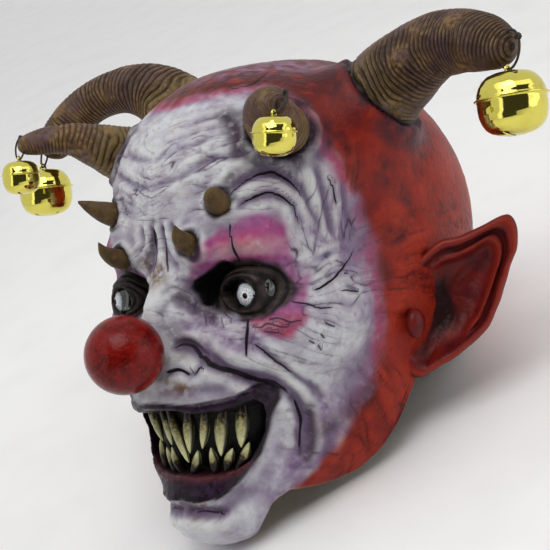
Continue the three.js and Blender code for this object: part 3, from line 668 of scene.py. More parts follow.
def tube(centres, widths, sides):
    """Rings of points round a line, with a point at either end."""
    centres = np.asarray(centres, float)
    way = unit(np.gradient(centres, axis=0))
    side = unit(np.cross(way[0], (0.1, 0.3, 1)))
    angle = turns(sides)
    rings = []
    for c, w, ahead in zip(centres, widths, way):
        side = unit(side - ahead * (side @ ahead))
        up = np.cross(ahead, side)
        rings.append(c + (np.outer(np.cos(angle), side) + np.outer(np.sin(angle), up)) * w)
    return np.vstack([*rings, centres[0], centres[-1]]), capped(len(centres), sides)


def hoop(centre, long, wide, radius, steps=72, sides=16, kink=0.0, seed=0):
    """A closed ring of cord or wire round an ellipse with the given half axes."""
    centre, long, wide = (np.asarray(v, float) for v in (centre, long, wide))
    line = centre + np.outer(np.cos(turns(steps)), long) + np.outer(np.sin(turns(steps)), wide)
    line = line + kink * np.stack([noise(line, 3.0, seed + k) for k in range(3)], -1)
    across = unit(np.cross(long, wide))
    angle = turns(sides)
    rings = []
    for n in range(steps):
        way = unit(line[(n + 1) % steps] - line[n - 1])
        out = unit(np.cross(across, way))
        up = np.cross(way, out)
        rings.append(line[n] + radius * (np.outer(np.cos(angle), out) + np.outer(np.sin(angle), up)))
    a = np.arange(steps * sides).reshape(steps, sides)
    r, b = np.roll(a, -1, 1), np.roll(a, -1, 0)
    return np.vstack(rings), np.stack([a, r, np.roll(r, -1, 0), b], -1).reshape(-1, 4).tolist()


def globe(centre, radii, columns, rows):
    """An ellipsoid with its poles above and below."""
    polar = np.linspace(0, math.pi, rows + 1)[1:-1, None]
    turn = turns(columns)[None, :]
    ball = np.stack([np.sin(polar) * np.cos(turn), np.sin(polar) * np.sin(turn),
                     np.cos(polar) + 0 * turn], -1).reshape(-1, 3)
    ball = np.vstack([ball, (0, 0, 1), (0, 0, -1)])
    return np.asarray(centre) + ball * np.asarray(radii), capped(rows - 1, columns, flipped=True)


def lathe(profile, segments):
    """A surface turned round z from a profile that starts and ends on the axis."""
    ring, a = profile[1:-1], turns(segments)
    verts = np.stack([np.outer(ring[:, 0], np.cos(a)), np.outer(ring[:, 0], np.sin(a)),
                      np.repeat(ring[:, 1:], segments, 1)], -1).reshape(-1, 3)
    verts = np.vstack([verts, (0, 0, profile[0][1]), (0, 0, profile[-1][1])])
    return verts, capped(len(ring), segments, flipped=True)


def round_profile(profile, steps):
    """Rounds a profile's corners lightly by adding points on short curves at them."""
    p = np.asarray(profile, float)
    out = [p[0]]
    for a, b, c in zip(p[:-2], p[1:-1], p[2:]):
        before, after = (min(0.35, 0.05 / max(np.linalg.norm(b - o), 1e-6)) for o in (a, c))
        start, end = b + (a - b) * before, b + (c - b) * after
        for u in np.linspace(0, 1, steps):
            out.append((1 - u) ** 2 * start + 2 * u * (1 - u) * b + u * u * end)
    out.append(p[-1])
    return np.array(out)


def spiky(line, widths, t):
    """The middle line and the widths of a horn, with its blunt tip rounded off."""
    points = smooth_line(line, t)
    width = smooth_line([(w, 0, 0) for w in widths], t)[:, 0]
    left = np.linalg.norm(points[-1] - points, axis=1)
    blunt = 0.9 * widths[-1]
    return points, width * np.sqrt(np.clip(1 - np.clip(1 - left / blunt, 0, 0.995) ** 2, 0, 1))


def merged(pieces):
    """Points and faces of several pieces as one."""
    verts, faces, base = [], [], 0
    for v, f in pieces:
        verts.append(v)
        faces += [[i + base for i in face] for face in f]
        base += len(v)
    return np.vstack(verts), faces


def mesh_object(name, verts, faces, material, fields=None, flatten=0.0):
    """A smooth object from points in the head's frame, held above the table by flatten, in metres."""
    mesh = bpy.data.meshes.new(name)
    placed = lay_down(verts)
    placed[:, 2] = np.maximum(placed[:, 2], flatten)
    mesh.from_pydata(placed.tolist(), [], faces)
    mesh.validate()
    for field, values in (fields or {}).items():
        store(mesh, field, values)
    mesh.polygons.foreach_set("use_smooth", [True] * len(mesh.polygons))
    mesh.materials.append(material)
    made = bpy.data.objects.new(name, mesh)
    bpy.context.scene.collection.objects.link(made)
    return made


def store(mesh, field, values):
    """Writes one value for each point of a mesh."""
    layer = mesh.attributes.get(field) or mesh.attributes.new(field, "FLOAT", "POINT")
    layer.data.foreach_set("value", np.asarray(values, np.float32))


def cut_out(target, cutters, solver="EXACT"):
    """Cuts other objects out of the target, and removes them."""
    for cutter in cutters:
        cut = target.modifiers.new("cut", "BOOLEAN")
        cut.operation = "DIFFERENCE"
        cut.object = cutter
        cut.solver = solver
    graph = bpy.context.evaluated_depsgraph_get()
    mesh = bpy.data.meshes.new_from_object(target.evaluated_get(graph), depsgraph=graph)
    old = target.data
    target.modifiers.clear()
    target.data = mesh
    bpy.data.meshes.remove(old)
    for cutter in cutters:
        bpy.data.meshes.remove(cutter.data)


def settle(piece, node):
    """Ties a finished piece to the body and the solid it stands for."""
    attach(piece, BODY)
    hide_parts(node)


# Paint

def colour(code):
    """An sRGB hex colour as the linear colour that shaders take."""
    parts = [int(code[n:n + 2], 16) / 255 for n in (1, 3, 5)]
    return tuple(c / 12.92 if c <= 0.04045 else ((c + 0.055) / 1.055) ** 2.4 for c in parts) + (1.0,)


def add_node(tree, kind, inputs=None, **settings):
    """Adds a node; inputs by name or number take a value or another node's output."""
    made = tree.nodes.new(kind)
    for key, value in settings.items():
        setattr(made, key, value)
    for key, value in (inputs or {}).items():
        if isinstance(value, bpy.types.NodeSocket):
            tree.links.new(value, made.inputs[key])
        else:
            made.inputs[key].default_value = value
    return made


class Finish:
    """One material being made: its tree, its coordinates in mm and its layers of colour."""

    def __init__(self, name, base, roughness, **values):
        self.material = bpy.data.materials.new(name)
        self.material.use_nodes = True
        self.tree = self.material.node_tree
        self.tree.nodes.clear()
        out = add_node(self.tree, "ShaderNodeOutputMaterial")
        self.shader = add_node(self.tree, "ShaderNodeBsdfPrincipled")
        self.tree.links.new(self.shader.outputs[0], out.inputs[0])
        self.place = add_node(self.tree, "ShaderNodeTexCoord").outputs["Object"]
        self.now = self.flat(base)
        self.rough = self.value(roughness)
        for key, value in values.items():
            self.shader.inputs[key.replace("_", " ")].default_value = value

    def flat(self, code):
        made = add_node(self.tree, "ShaderNodeRGB")
        made.outputs[0].default_value = colour(code)
        return made.outputs[0]

    def value(self, number):
        made = add_node(self.tree, "ShaderNodeValue")
        made.outputs[0].default_value = number
        return made.outputs[0]

    def noise(self, size, detail=2.0, low=0.0, high=1.0):
        """Noise with lumps of this size in mm, mapped from low..high to 0..1."""
        cloud = add_node(self.tree, "ShaderNodeTexNoise",
                         {"Vector": self.place, "Scale": 1000.0 / size, "Detail": detail})
        return self.mapped(cloud.outputs[0], low, high)

    def mapped(self, source, low, high):
        """A value brought from low..high to 0..1 and held there."""
        return add_node(self.tree, "ShaderNodeMapRange", {0: source, 1: low, 2: high}).outputs[0]

    def field(self, name):
        return add_node(self.tree, "ShaderNodeAttribute", attribute_name=name).outputs["Fac"]

    def maths(self, operation, a, b):
        return add_node(self.tree, "ShaderNodeMath", {0: a, 1: b}, operation=operation,
                        use_clamp=True).outputs[0]

    def times(self, a, b):
        return self.maths("MULTIPLY", a, b)

    def rest(self, a):
        """What an amount leaves of the whole."""
        return self.maths("SUBTRACT", 1.0, a)

    def broken(self, name, *cloud):
        """A field broken up by noise."""
        return self.times(self.field(name), self.noise(*cloud))

    def apart(self, name):
        """How far a signed field is from zero."""
        return add_node(self.tree, "ShaderNodeMath", {0: self.field(name)}, operation="ABSOLUTE").outputs[0]

    def waves(self, name):
        """Soft bands from 0 to 1, one for each whole number of a field."""
        inputs = {0: self.field(name), 1: 2 * math.pi}
        turn = add_node(self.tree, "ShaderNodeMath", inputs, operation="MULTIPLY")
        wave = add_node(self.tree, "ShaderNodeMath", {0: turn.outputs[0]}, operation="SINE")
        return self.mapped(wave.outputs[0], -0.9, 0.7)

    def over(self, amount, code, roughness=None):
        """Lays a colour, and a roughness if given, over what is there."""
        above = code if isinstance(code, bpy.types.NodeSocket) else self.flat(code)
        mix = add_node(self.tree, "ShaderNodeMix", {0: amount, 6: self.now, 7: above}, data_type="RGBA")
        self.now = mix.outputs[2]
        if roughness is not None:
            self.rough = add_node(self.tree, "ShaderNodeMix", {0: amount, 2: self.rough, 3: roughness},
                                  data_type="FLOAT").outputs[0]
        return self

    def blend(self, amount, low, high):
        """A colour between two, by the amount."""
        mix = add_node(self.tree, "ShaderNodeMix", {0: amount, 6: self.flat(low), 7: self.flat(high)},
                       data_type="RGBA")
        return mix.outputs[2]

    def done(self, *bumps):
        """Joins the colour, the roughness and the fine relief, given as height and depth in mm."""
        self.tree.links.new(self.now, self.shader.inputs["Base Color"])
        self.tree.links.new(self.rough, self.shader.inputs["Roughness"])
        normal = None
        for height, depth in bumps:
            inputs = {"Height": height, "Strength": 1.0, "Distance": depth / 1000}
            if normal:
                inputs["Normal"] = normal
            normal = add_node(self.tree, "ShaderNodeBump", inputs).outputs[0]
        if normal:
            self.tree.links.new(normal, self.shader.inputs["Normal"])
        return self.material


# Where the red paint starts behind the white: by height on the sides and by x over the crown, each
# with the y behind which it is red.
RED_EDGE = [(34, -74), (42, -66), (51, -57), (67.7, -46), (82.8, -34.2), (101.6, -26), (138, -26.5),
            (165, -27), (190, -32), (204.5, -42), (221, -48.4), (239.5, -51.5), (262, -54)]
CROWN_EDGE = [(0, -86), (9, -83), (28, -73), (44, -56), (70, -52)]
# The pink round the eye and the dark socket within it, x and z.
PINK = [(15, 155), (22, 166), (30, 174.5), (38, 180), (44, 184), (49, 187.5), (54, 189.5), (60, 190.5),
        (65, 188), (68, 181), (70.5, 171), (74, 161), (78, 151), (80.5, 140), (81, 132), (78, 127), (74, 124),
        (66, 121.7), (61, 123.7), (55, 127), (51.5, 132), (40, 140)]
SOCKET = [(17, 155), (24, 148), (26, 143), (31.5, 139), (37.6, 136.5), (44.4, 133.5), (50.6, 131.5),
          (58, 131.5), (64, 133.5), (70.5, 137), (75, 143), (75.5, 149.5), (71, 156), (65, 160.5),
          (57.7, 164), (52, 166), (44, 167), (38.4, 165), (29.5, 161)]
CUTS = [  # near-black lines: strength, half width in mm, and where each runs
    (1, 0.6, ARCH),
    (1, 0.55, LOWER_ARCH),
    (1, 1.2, [(25.5, -113.2, 115.4), (28.5, -112, 113.1), (34.2, -109, 108.6), (40.8, -104.1, 104.5),
              (46.5, -98.4, 100.2), (53.3, -88.9, 96.3), (57.1, -79.1, 86.9)]),
    (0.9, 0.6, [*NOSTRIL, (22.5, -116.3, 105.6)]),
    (1, 0.9, UNDER_NOSTRIL),
    (0.9, 0.5, [(4.1, -112.9, 189), (4.1, -112, 178), (4.1, -111.1, 169), (6.2, -111.9, 162)]),
    (0.8, 0.45, [(78.9, -79, 115.5), (79, -77, 113.5), (78.8, -75, 111.6)]),
    (0.8, 0.45, [(77.2, -83.2, 118.5), (77.8, -81.5, 117), (78.1, -80.2, 115.5)]),
    (1, 0.9, [(57.4, -78, 85), (57.1, -74.9, 79), (56.4, -72.5, 72), (55, -73, 64), (53.4, -72.9, 55)]),
    (0.9, 0.6, [(51.9, -98.3, 120.3), (57.8, -90.8, 109.7), (60.5, -79.9, 99.6)]),
    (1, 0.6, [(80.2, -79.5, 145), (82.7, -74.6, 146), (84.8, -65.1, 150), (84.1, -51.1, 156),
              (85, -39, 165)]),
    (0.9, 0.5, [(84.8, -65.1, 150), (85.4, -57, 151.5), (85.5, -49.8, 151)]),
    (0.9, 0.5, [(71.6, -89.8, 141), (79, -83.7, 138), (83, -78, 135), (87.1, -70.7, 134)]),
    (0.9, 0.5, [(87, -64.8, 143), (88, -56, 142), (88.5, -47.3, 141)]),
    (1, 0.6, [(80, -55, 207), (81, -53, 199), (82.1, -51.8, 190)]),
    (0.8, 0.5, [(83.9, -77.5, 127.3), (86.7, -70.4, 123.9)]),
    (0.8, 0.5, [(81.7, -79.1, 121.3), (82.2, -75.9, 118)]),
    (0.9, 0.6, [(26, -76, 259), (37.7, -62.8, 263.2), (37, -52, 268), (34.9, -42, 271.8)]),
    (0.8, 0.5, [(6, -114.6, 25.9), (14.7, -111.6, 26.2), (21.8, -106.3, 23.3)]),
    (0.5, 0.4, [(27, -112, 138), (30, -111.5, 131)]),
    (0.4, 0.4, [(31, -110, 137), (33, -109.5, 132)]),
    (0.5, 0.4, [(36, -108, 136), (39.5, -107, 129)]),
    (0.4, 0.4, [(41, -105, 135), (42, -104.5, 131)]),
    (0.7, 0.5, [(52.5, -99, 130), (57, -98, 128), (60.4, -96.7, 130), (67.3, -93.6, 127.2), (73, -90, 128)]),
    (0.7, 0.5, [(59.4, -97, 132), (66.4, -94.2, 132), (72.3, -90.7, 129.5), (77.7, -86, 130)]),
    (0.6, 0.45, [(54.4, -98.5, 127), (61.2, -96, 125), (68.9, -91.9, 123.2)]),
]
DRAWN = [  # painted straight down over and under the eye
    (1, 0.7, [(48.8, -105, 186), (48.6, -104.1, 179), (48.2, -101.9, 171), (47, -98, 163)]),
    (1, 0.75, [(50.3, -100, 134), (50.3, -100.1, 127.8), (49.1, -100, 122.3), (47.4, -98.8, 112.2)]),
]
SHADE_AND_SMUDGES = [  # painted shade under the folds, behind the jaw, beside the nose and round the front horn, and soft dark strokes: strength, half width in mm, and where each runs
    (0.8, 2.2, [(56.7, -79.4, 86), (57.1, -74.9, 79), (56.4, -72.5, 72)]),
    (0.8, 2.0, [(54.1, -75, 66.5), (54, -72.9, 57.5), (53.4, -72.9, 52.6)]),
    (0.5, 1.5, [(63.8, -68.8, 93.3), (64.7, -64.9, 89.2), (64.9, -62.3, 84.1)]),
    (0.9, 4.5, [(60.3, -68, 78.6), (57.6, -65.8, 59.7), (54.9, -68.6, 50.1)]),
    (0.6, 5.5, [(80.7, -31.6, 84.1), (69.6, -50.3, 69.7), (62.4, -58.7, 64)]),
    (0.7, 5.0, [(11.9, -117, 131), (15.1, -116.4, 125), (18.3, -115.8, 117.7)]),
    (1.0, 2.6, [(28, -112, 112.5), (36, -108, 107), (46, -99, 99.5), (53.5, -89, 95.5)]),
    (0.8, 2.4, [(4, -115, 27.5), (12, -112.5, 27.5), (20, -108, 25)]),
    (0.6, 2.0, [(7.4, -114.5, 153), (10.5, -113.9, 154), (16.8, -113.1, 152)]),
    (0.9, 3.6, [(13, -114.5, 149), (18, -113.5, 145.5), (24, -112, 140), (33, -110, 135.5)]),
    (0.5, 1.8, [(6.4, -117, 141), (9.6, -115.6, 147), (14, -114, 150)]),
    (1.0, 6.5, [(37.6, -86.7, 245), (44.3, -88.2, 238), (50.3, -91.6, 226)]),
    (0.8, 3.0, [(44, -99, 208), (51, -97, 214), (60, -91, 216)]),
    (0.7, 3.0, [(21, -100, 214), (22, -102, 206), (20, -104, 199)]),
    (0.7, 4.5, [(48.3, -91.6, 228.4), (54.9, -90.8, 218.5), (64.8, -80.2, 217.7), (72.5, -69, 217)]),
    (0.5, 3.5, [(37, -106, 182), (42, -102, 190), (46, -99, 197)]),
]
RIGHT_SMUDGES = [  # on the wearer's right alone
    (0.8, 2.0, [(-1.1, -113.6, 191.7), (-5.3, -112.4, 181), (-7.3, -111.7, 176), (-12.4, -110.7, 169)]),
]
# Spots: where glaze pooled or was dabbed on, x y z, and how wide.
BLOTCHES = [(76, -44, 233, 9), (82, -38, 219, 8), (84, -36, 203, 6), (91, -8, 224, 7), (94, -7, 195, 9),
            (96, -1, 189, 5), (91, -16, 207, 8), (92, 21, 218, 6), (97, 29, 187, 7), (93, -15, 169, 8),
            (88, -22, 150, 6), (80, 40, 232, 8), (96, 10, 205, 5), (-91, -10, 200, 9), (-93, 14, 182, 8),
            (40, 80, 250, 10), (-30, 92, 235, 11), (10, 128, 200, 9), (70, 96, 170, 9),
            (-64, 100, 150, 10)]  # dark on the red, each on one side alone
WASHES = [(31, -111, 127, 9), (40, -105, 124, 11), (51, -99, 121, 9), (22, -114, 130, 7), (57, -70, 58, 14),
          (63, -58, 80, 12), (52, -78, 44, 11), (78, -70, 178, 11), (66, -88, 205, 10), (85, -56, 190, 13),
          (88, -50, 165, 11)]  # lilac
STAINS = [(17, -120, 98, 5), (8, -121, 101, 5), (4, -115, 29, 6), (12, -114, 28, 5),
          (66, -62, 66, 5)]  # brown
RIGHT_STAINS = [(-11, -111, 167, 6), (-1, -113, 161, 6)]  # on the wearer's right alone


def blurred(grid, half):
    """Means over a square window of the grid, which closes on itself sideways."""
    size = 2 * half + 1
    for _ in range(2):
        grid = sum(np.roll(grid, k, 1) for k in range(-half, half + 1)) / size
        tall = np.pad(grid, ((half, half), (0, 0)), mode="edge")
        grid = sum(tall[k:k + grid.shape[0]] for k in range(size)) / size
    return grid


def spots(places, drift):
    """Soft round spots: the points each is measured from, and its centre and radius."""
    return sum(bell_curve(np.linalg.norm(at - c[:3], axis=1) / (c[3] * (1 + drift))) for at, c in places)


def paint(p):
    """Where each colour lies on the skin, from the places in the head's frame before they were moulded."""
    q = np.stack([np.abs(p[:, 0]), p[:, 1], p[:, 2]], -1)
    x, y, z = q.T
    front = ease((-y - 45) / 20)
    drift = layered(p, 16, 31)
    xs, zs = x + 1.6 * noise(p, 6, 32), z + 1.6 * noise(p, 6, 33)
    streak = noise(p * (1.0, 0.35, 0.25), 5, 34)
    crown = ease((z - 244) / 14)
    edge = np.interp(z, *zip(*RED_EDGE)) * (1 - crown) + np.interp(x, *zip(*CROWN_EDGE)) * crown
    behind = y - edge
    fields = {
        "red": ease((behind + 5 * drift + 3 * streak + 6) / 12),
        "blush": bell_curve((behind + 3 + 5 * drift) / 6) * ease((z - 60) / 30),
        "purple": ease((behind + 24 + 8 * drift + 5 * streak) / 18) * ease((60 - behind) / 30),
        # Painted highlight: a lighter lilac band along the top of the crown.
        "lilac": 0.8 * ease((z - 266) / 9) * ease((20 - y) / 30),
        "pink": ease((near_polygon(xs, zs, PINK) + 2 + 1.5 * streak) / 5) * front,
        "crimson": np.clip(bell_curve(np.hypot((x - 52) / 13, (z - 173) / 7)) + ease((137 - z) / 7), 0, 1),
        # Painted shade: the red darkens towards the top of the crown.
        "crown": ease((z - 222 + 12 * drift) / 44),
        "ring": np.hypot((x - 50) / 1.35, z - EYE_HEIGHT) / 3.1 + 0.35 * noise(p, 12, 21),
        "socket": ease((near_polygon(xs, zs, SOCKET) + 1.2) / 3.6) * front,
        "lip": ease((into(x, z, LIP_OUTLINE) + 1.0 + 0.3 * streak) / 1.6) * front,
        "mouth": ease((into(x, z, MOUTH_OPENING) + 1.5) / 3.5) * front,
        "gum": ease((58 - z) / 8) * bell_curve((into(x, z, MOUTH_OPENING) + 0.5) / 2.6) * front,
    }
    fields["wander"], fields["fine"], _, fields["creased"] = creases(p)
    fields["cut"], fields["near"] = np.full(len(p), 8.0), np.zeros(len(p))
    shaken = q + 0.6 * np.stack([noise(p, 5, k) for k in (36, 37, 38)], -1)
    for at, (strength, half, run) in [(shaken, cut) for cut in CUTS] + [(q, cut) for cut in DRAWN]:
        s, t, side = to_line(at, run)
        s /= half * (0.55 + 0.6 * np.sin(np.pi * np.clip(t, 0.02, 0.98)))
        near = strength * ease((6 - s) / 3) * ease(np.minimum(t, 1 - t) * 12)
        closer = near > fields["near"]
        fields["cut"][closer] = (side * np.minimum(s, 8))[closer]
        fields["near"][closer] = near[closer]
    # Painted shade, with a few soft dark strokes: under the folds, behind the jaw, beside the nose and round
    # the front horn.
    shade_and_smudge = np.zeros(len(p))
    for at, (strength, half, run) in [(q, line) for line in SHADE_AND_SMUDGES] + [(p, line) for line in RIGHT_SMUDGES]:
        s, t, _ = to_line(at, run)
        shade_and_smudge = np.maximum(shade_and_smudge, strength * bell_curve(s / half / (1 + 0.3 * drift)))
    fields["shade_and_smudge"] = shade_and_smudge
    blotch = spots([(p, c) for c in BLOTCHES], 0.5 * drift)
    fields["blotch"] = np.clip(blotch + 0.5 * ease(noise(p, 17, 39) - 0.25), 0, 1)
    fields["wash"] = np.clip(spots([(q, c) for c in WASHES], 0.35 * drift), 0, 1)
    brown = [(p, c) for c in RIGHT_STAINS] + [(q, c) for c in STAINS]
    fields["stain"] = np.clip(spots(brown, 0.4 * drift), 0, 1)
    # Painted shade round whatever stands out of the head.
    shade = np.zeros(len(p))
    for name, (line, widths) in HORNS.items():
        reach = 15 if name.startswith("rear") else 13
        ragged = reach + 6 * noise(p, 8, 40)
        shade = np.maximum(shade, ease((ragged - gap_to_horn(p, line, widths)) / reach))
    for line, widths in THORNS.values():
        ragged = 5.2 + 2.2 * noise(p, 5, 42)
        shade = np.maximum(shade, ease((ragged - gap_to_thorn(p, line, widths)) / 3.2))
    fields["shade"] = shade
    return fields


# Finishes

def painted_latex(settings):
    """Matt latex paint: chalky white skin, mauve glaze and painted shade in the creases, a painted highlight
    on the ridges, red behind, dark round the eyes.
    """
    f = Finish("painted_latex", "#cfd1d6", 0.5, Specular_IOR_Level=0.16)

    def either(on_white, on_red):
        return f.blend(f.field("red"), on_white, on_red)

    # The white isn't even: lilac, grey and warmer washes drift over it.
    f.over(f.noise(26, 3, 0.46, 0.68), "#b2aeba")
    f.over(f.times(f.noise(9, 4, 0.5, 0.75), 0.5), "#bdbbab")
    f.over(f.times(f.noise(12, 5, 0.48, 0.7), 0.6), "#95879d")
    f.over(f.times(f.noise(4, 4, 0.52, 0.72), 0.35), "#7f7285")
    f.over(f.broken("purple", 11, 4, 0.25, 0.55), f.blend(f.noise(5, 3), "#75607e", "#9a88a4"))
    f.over(f.broken("wash", 6, 4, 0.2, 0.6), "#83698d")
    f.over(f.broken("stain", 4, 4, 0.3, 0.55), "#6d4d2b")
    # Pink round the eyes, turning crimson, and the red of the back, with darker glaze over it and painted
    # shade darkening the red towards the top of the crown.
    pink = f.broken("pink", 6, 4, 0.1, 0.36)
    f.over(pink, f.blend(f.noise(7, 3, 0.4, 0.6), "#96427c", "#a9548c"))
    f.over(f.times(pink, f.broken("crimson", 5, 3, 0.15, 0.42)),
           f.blend(f.noise(3, 3, 0.4, 0.6), "#982a4c", "#b23f5c"))
    f.over(f.broken("blush", 8, 4, 0.2, 0.5), "#a34a6c")
    f.over(f.field("red"), f.blend(f.noise(22, 4, 0.36, 0.6), "#822018", "#a32f1c"), 0.42)
    f.over(f.times(f.broken("red", 5, 5, 0.5, 0.7), 0.4), "#6d1a17")
    # Painted shade, darker towards the top of the crown.
    f.over(f.times(f.field("red"), f.broken("crown", 10, 4, 0.2, 0.5)), "#4b1417")
    f.over(f.times(f.field("red"), f.broken("blotch", 8, 4, 0.25, 0.6)), "#4a1c1e", 0.4)
    # Painted highlight: lighter lilac along the top of the crown.
    f.over(f.broken("lilac", 7, 5, 0.4, 0.66), f.blend(f.noise(5, 3), "#7c3b58", "#a98cb2"))
    # Dark glaze and painted shade in each crease and hollow, and a painted highlight on the ridges.
    wander, fine, cut = f.apart("wander"), f.apart("fine"), f.apart("cut")
    creased, here = f.field("creased"), f.broken("creased", 8, 2, 0.38, 0.58)
    crease_line = f.times(f.mapped(wander, 0.10, 0.02), here)
    fine_crease_line = f.times(f.mapped(fine, 0.16, 0.03), f.broken("creased", 5, 2, 0.45, 0.62))
    # Painted shade along the lesser wrinkles, in the broad hollows and in the near creases.
    f.over(f.times(f.mapped(wander, 0.5, 0.0), f.times(creased, 0.35)), either("#83728e", "#571413"))
    f.over(f.times(f.field("hollow"), 0.75), either("#7c6d88", "#561717"))
    f.over(f.times(f.field("cavity"), 0.7), either("#675773", "#4a1414"))
    # Painted shade round the horns and thorns, then the painted shade and soft strokes of the smudge table.
    f.over(f.times(f.broken("shade", 5, 4, 0.1, 0.5), 0.9), "#281e2b")
    f.over(f.broken("shade_and_smudge", 4, 5, 0.2, 0.48), either("#3f303d", "#3d1217"))
    lit = f.rest(f.maths("MAXIMUM", f.field("shade"), f.field("shade_and_smudge")))
    # Painted highlight on the ridges, white on the face and orange red on the red, left off where painted
    # shade lies.
    f.over(f.times(f.times(f.field("ridge"), 0.45), lit), either("#e2e3de", "#b3462e"))
    # Thin dark lines at the bottom of the fine and lesser creases: glaze and painted shade.
    f.over(f.times(fine_crease_line, 0.5), either("#5b4c66", "#4a1414"))
    f.over(f.times(crease_line, 0.85), either("#3a2e42", "#2c0d0e"))
    # Soft painted shade round the inked lines.
    f.over(f.times(f.times(f.mapped(cut, 6.0, 1.0), f.field("near")), 0.5), either("#6f5c7a", "#4a1414"))
    # The black of the sockets with their rings, the cuts, the lips and the mouth.
    # The rings round each socket are lighter on their crests: painted highlight.
    rings = f.waves("ring")
    f.over(f.field("socket"), f.blend(f.times(rings, f.noise(6, 3, 0.25, 0.55)), "#0b0808", "#3b302d"), 0.4)
    slash = f.times(f.mapped(cut, 1.25, 0.75), f.field("near"))
    f.over(slash, "#120b10", 0.5)
    f.over(f.field("lip"), f.blend(f.noise(5, 4, 0.42, 0.7), "#170c16", "#35213a"), 0.26)
    f.over(f.broken("gum", 4, 3, 0.3, 0.5), "#5a2a30", 0.25)
    f.over(f.field("mouth"), "#060404", 0.5)
    # Painted shade: near black in and round the peepholes.
    f.over(f.field("hole"), "#040303", 0.9)
    # Unpainted latex inside, yellowish and slightly waxy, and on the rolled edge.
    f.over(f.field("inside"), f.blend(f.noise(20, 3), "#b39c78", "#c8b592"), 0.55)
    groove = f.times(f.mapped(wander, 0.3, 0.0), here)
    for other in (slash, f.times(f.mapped(fine, 0.3, 0.0), f.times(creased, 0.5)),
                  f.times(f.rest(rings), f.field("socket"))):
        groove = f.maths("MAXIMUM", groove, other)
    grain, pores = f.noise(1.1, 2, 0.3, 0.7), f.noise(3.2, 3, 0.3, 0.7)
    return f.done((grain, settings.grain), (pores, settings.grain * 2), (f.rest(groove), settings.crease))


def red_latex(settings):
    """The ears' deeper red, with a painted highlight where the folds stand up and painted shade, almost
    black, in the hollows.
    """
    f = Finish("red_latex", "#5a1015", 0.4, Specular_IOR_Level=0.22)
    f.over(f.noise(12, 4, 0.42, 0.67), "#771d15")
    f.over(f.times(f.noise(7, 4, 0.5, 0.75), 0.6), "#4a0e13")
    f.over(f.field("deep"), f.blend(f.noise(6, 3), "#190607", "#330c0f"))
    f.over(f.times(f.field("ridge"), 0.7), "#9c3322")
    return f.done((f.noise(2.4, 3, 0.3, 0.7), settings.grain))


def horn_latex(settings):
    """Brown horn paint, dark glaze and painted shade in each groove, dry-brushed tan with a painted highlight
    on the ridges, tan at the root, and painted shade round the foot.
    """
    f = Finish("horn_latex", "#5c432c", 0.5, Specular_IOR_Level=0.2)
    f.over(f.noise(17, 3, 0.42, 0.62), "#443126")
    f.over(f.times(f.noise(8, 4, 0.45, 0.7), 0.7), "#6e5231")
    f.over(f.broken("root", 6, 4, 0.25, 0.5), "#76643a")
    f.over(f.broken("dusk", 12, 3, 0.15, 0.5), "#31211f")
    f.over(f.broken("ridge", 3, 3, 0.36, 0.62), f.blend(f.noise(15, 2, 0.42, 0.6), "#8d7048", "#665158"))
    f.over(f.field("groove"), "#0f0909", 0.6)
    f.over(f.broken("foot", 4, 3, 0.2, 0.45), "#150e1a")
    return f.done((f.noise(1.6, 3, 0.3, 0.7), settings.grain))


def thorn_latex(settings):
    """Smooth ochre brown, mottled, with painted shade in its grooves and round the foot where it meets the
    skin.
    """
    f = Finish("thorn_latex", "#5c482a", 0.5, Specular_IOR_Level=0.2)
    f.over(f.noise(6, 4, 0.42, 0.62), "#433120")
    f.over(f.times(f.noise(3, 4, 0.5, 0.7), 0.7), "#6f5b36")
    f.over(f.times(f.field("groove"), 0.5), "#2c1f16", 0.6)
    f.over(f.broken("foot", 4, 3, 0.15, 0.4), "#17101a")
    return f.done((f.noise(1.6, 3, 0.3, 0.7), settings.grain))


def ball_red():
    """Bright red gloss with a mottled, hand-sprayed depth."""
    f = Finish("glossy_red_nose", "#74110c", 0.22, Specular_IOR_Level=0.14, Coat_Weight=0.08,
               Coat_Roughness=0.06)
    f.over(f.noise(9, 3, 0.42, 0.64), "#500a09")
    f.over(f.times(f.noise(1.8, 3, 0.52, 0.68), 0.5), "#942015")
    return f.done((f.noise(2.2, 3, 0.35, 0.65), 0.1))


def eye_gloss():
    """A wet black eye with a white speckled iris, a small black pupil and a bright ring round it."""
    f = Finish("gloss_eye", "#0c0a0c", 0.08, Specular_IOR_Level=0.6, Coat_Weight=0.6, Coat_Roughness=0.03)
    gaze = f.field("gaze")
    edge = {0: f.noise(2.2, 3, 0.3, 0.7), 1: 0.9, 2: gaze}
    ragged = add_node(f.tree, "ShaderNodeMath", edge, operation="MULTIPLY_ADD").outputs[0]
    iris = f.mapped(ragged, 7.4, 6.6)
    f.over(iris, f.blend(f.noise(0.7, 3, 0.42, 0.6), "#a7adb5", "#dfe3e6"))
    f.over(f.times(f.mapped(gaze, 4.6, 6.6), iris), "#8b9199")
    f.over(f.mapped(gaze, 2.8, 2.4), "#e6e9ea")
    f.over(f.mapped(gaze, 1.9, 1.6), "#050405")
    f.over(f.broken("glint", 0.9, 2, 0.55, 0.6), "#c9cfd3")
    return f.done()


def old_teeth():
    """Greenish ivory, brown up to the root, with black between the teeth."""
    f = Finish("stained_teeth", "#cccb99", 0.3, Specular_IOR_Level=0.3)
    f.over(f.noise(3, 3, 0.5, 0.75), "#b3ac74")
    f.over(f.mapped(f.field("root"), 0.25, 0.85), f.blend(f.noise(1.8, 3, 0.42, 0.56), "#94884f", "#2a1c0c"))
    f.over(f.mapped(f.field("root"), 0.7, 1.0), "#150e08")
    f.over(f.mapped(f.field("edge"), 0.55, 1.0), "#17110c")
    return f.done((f.noise(1.4, 2, 0.3, 0.7), 0.08))


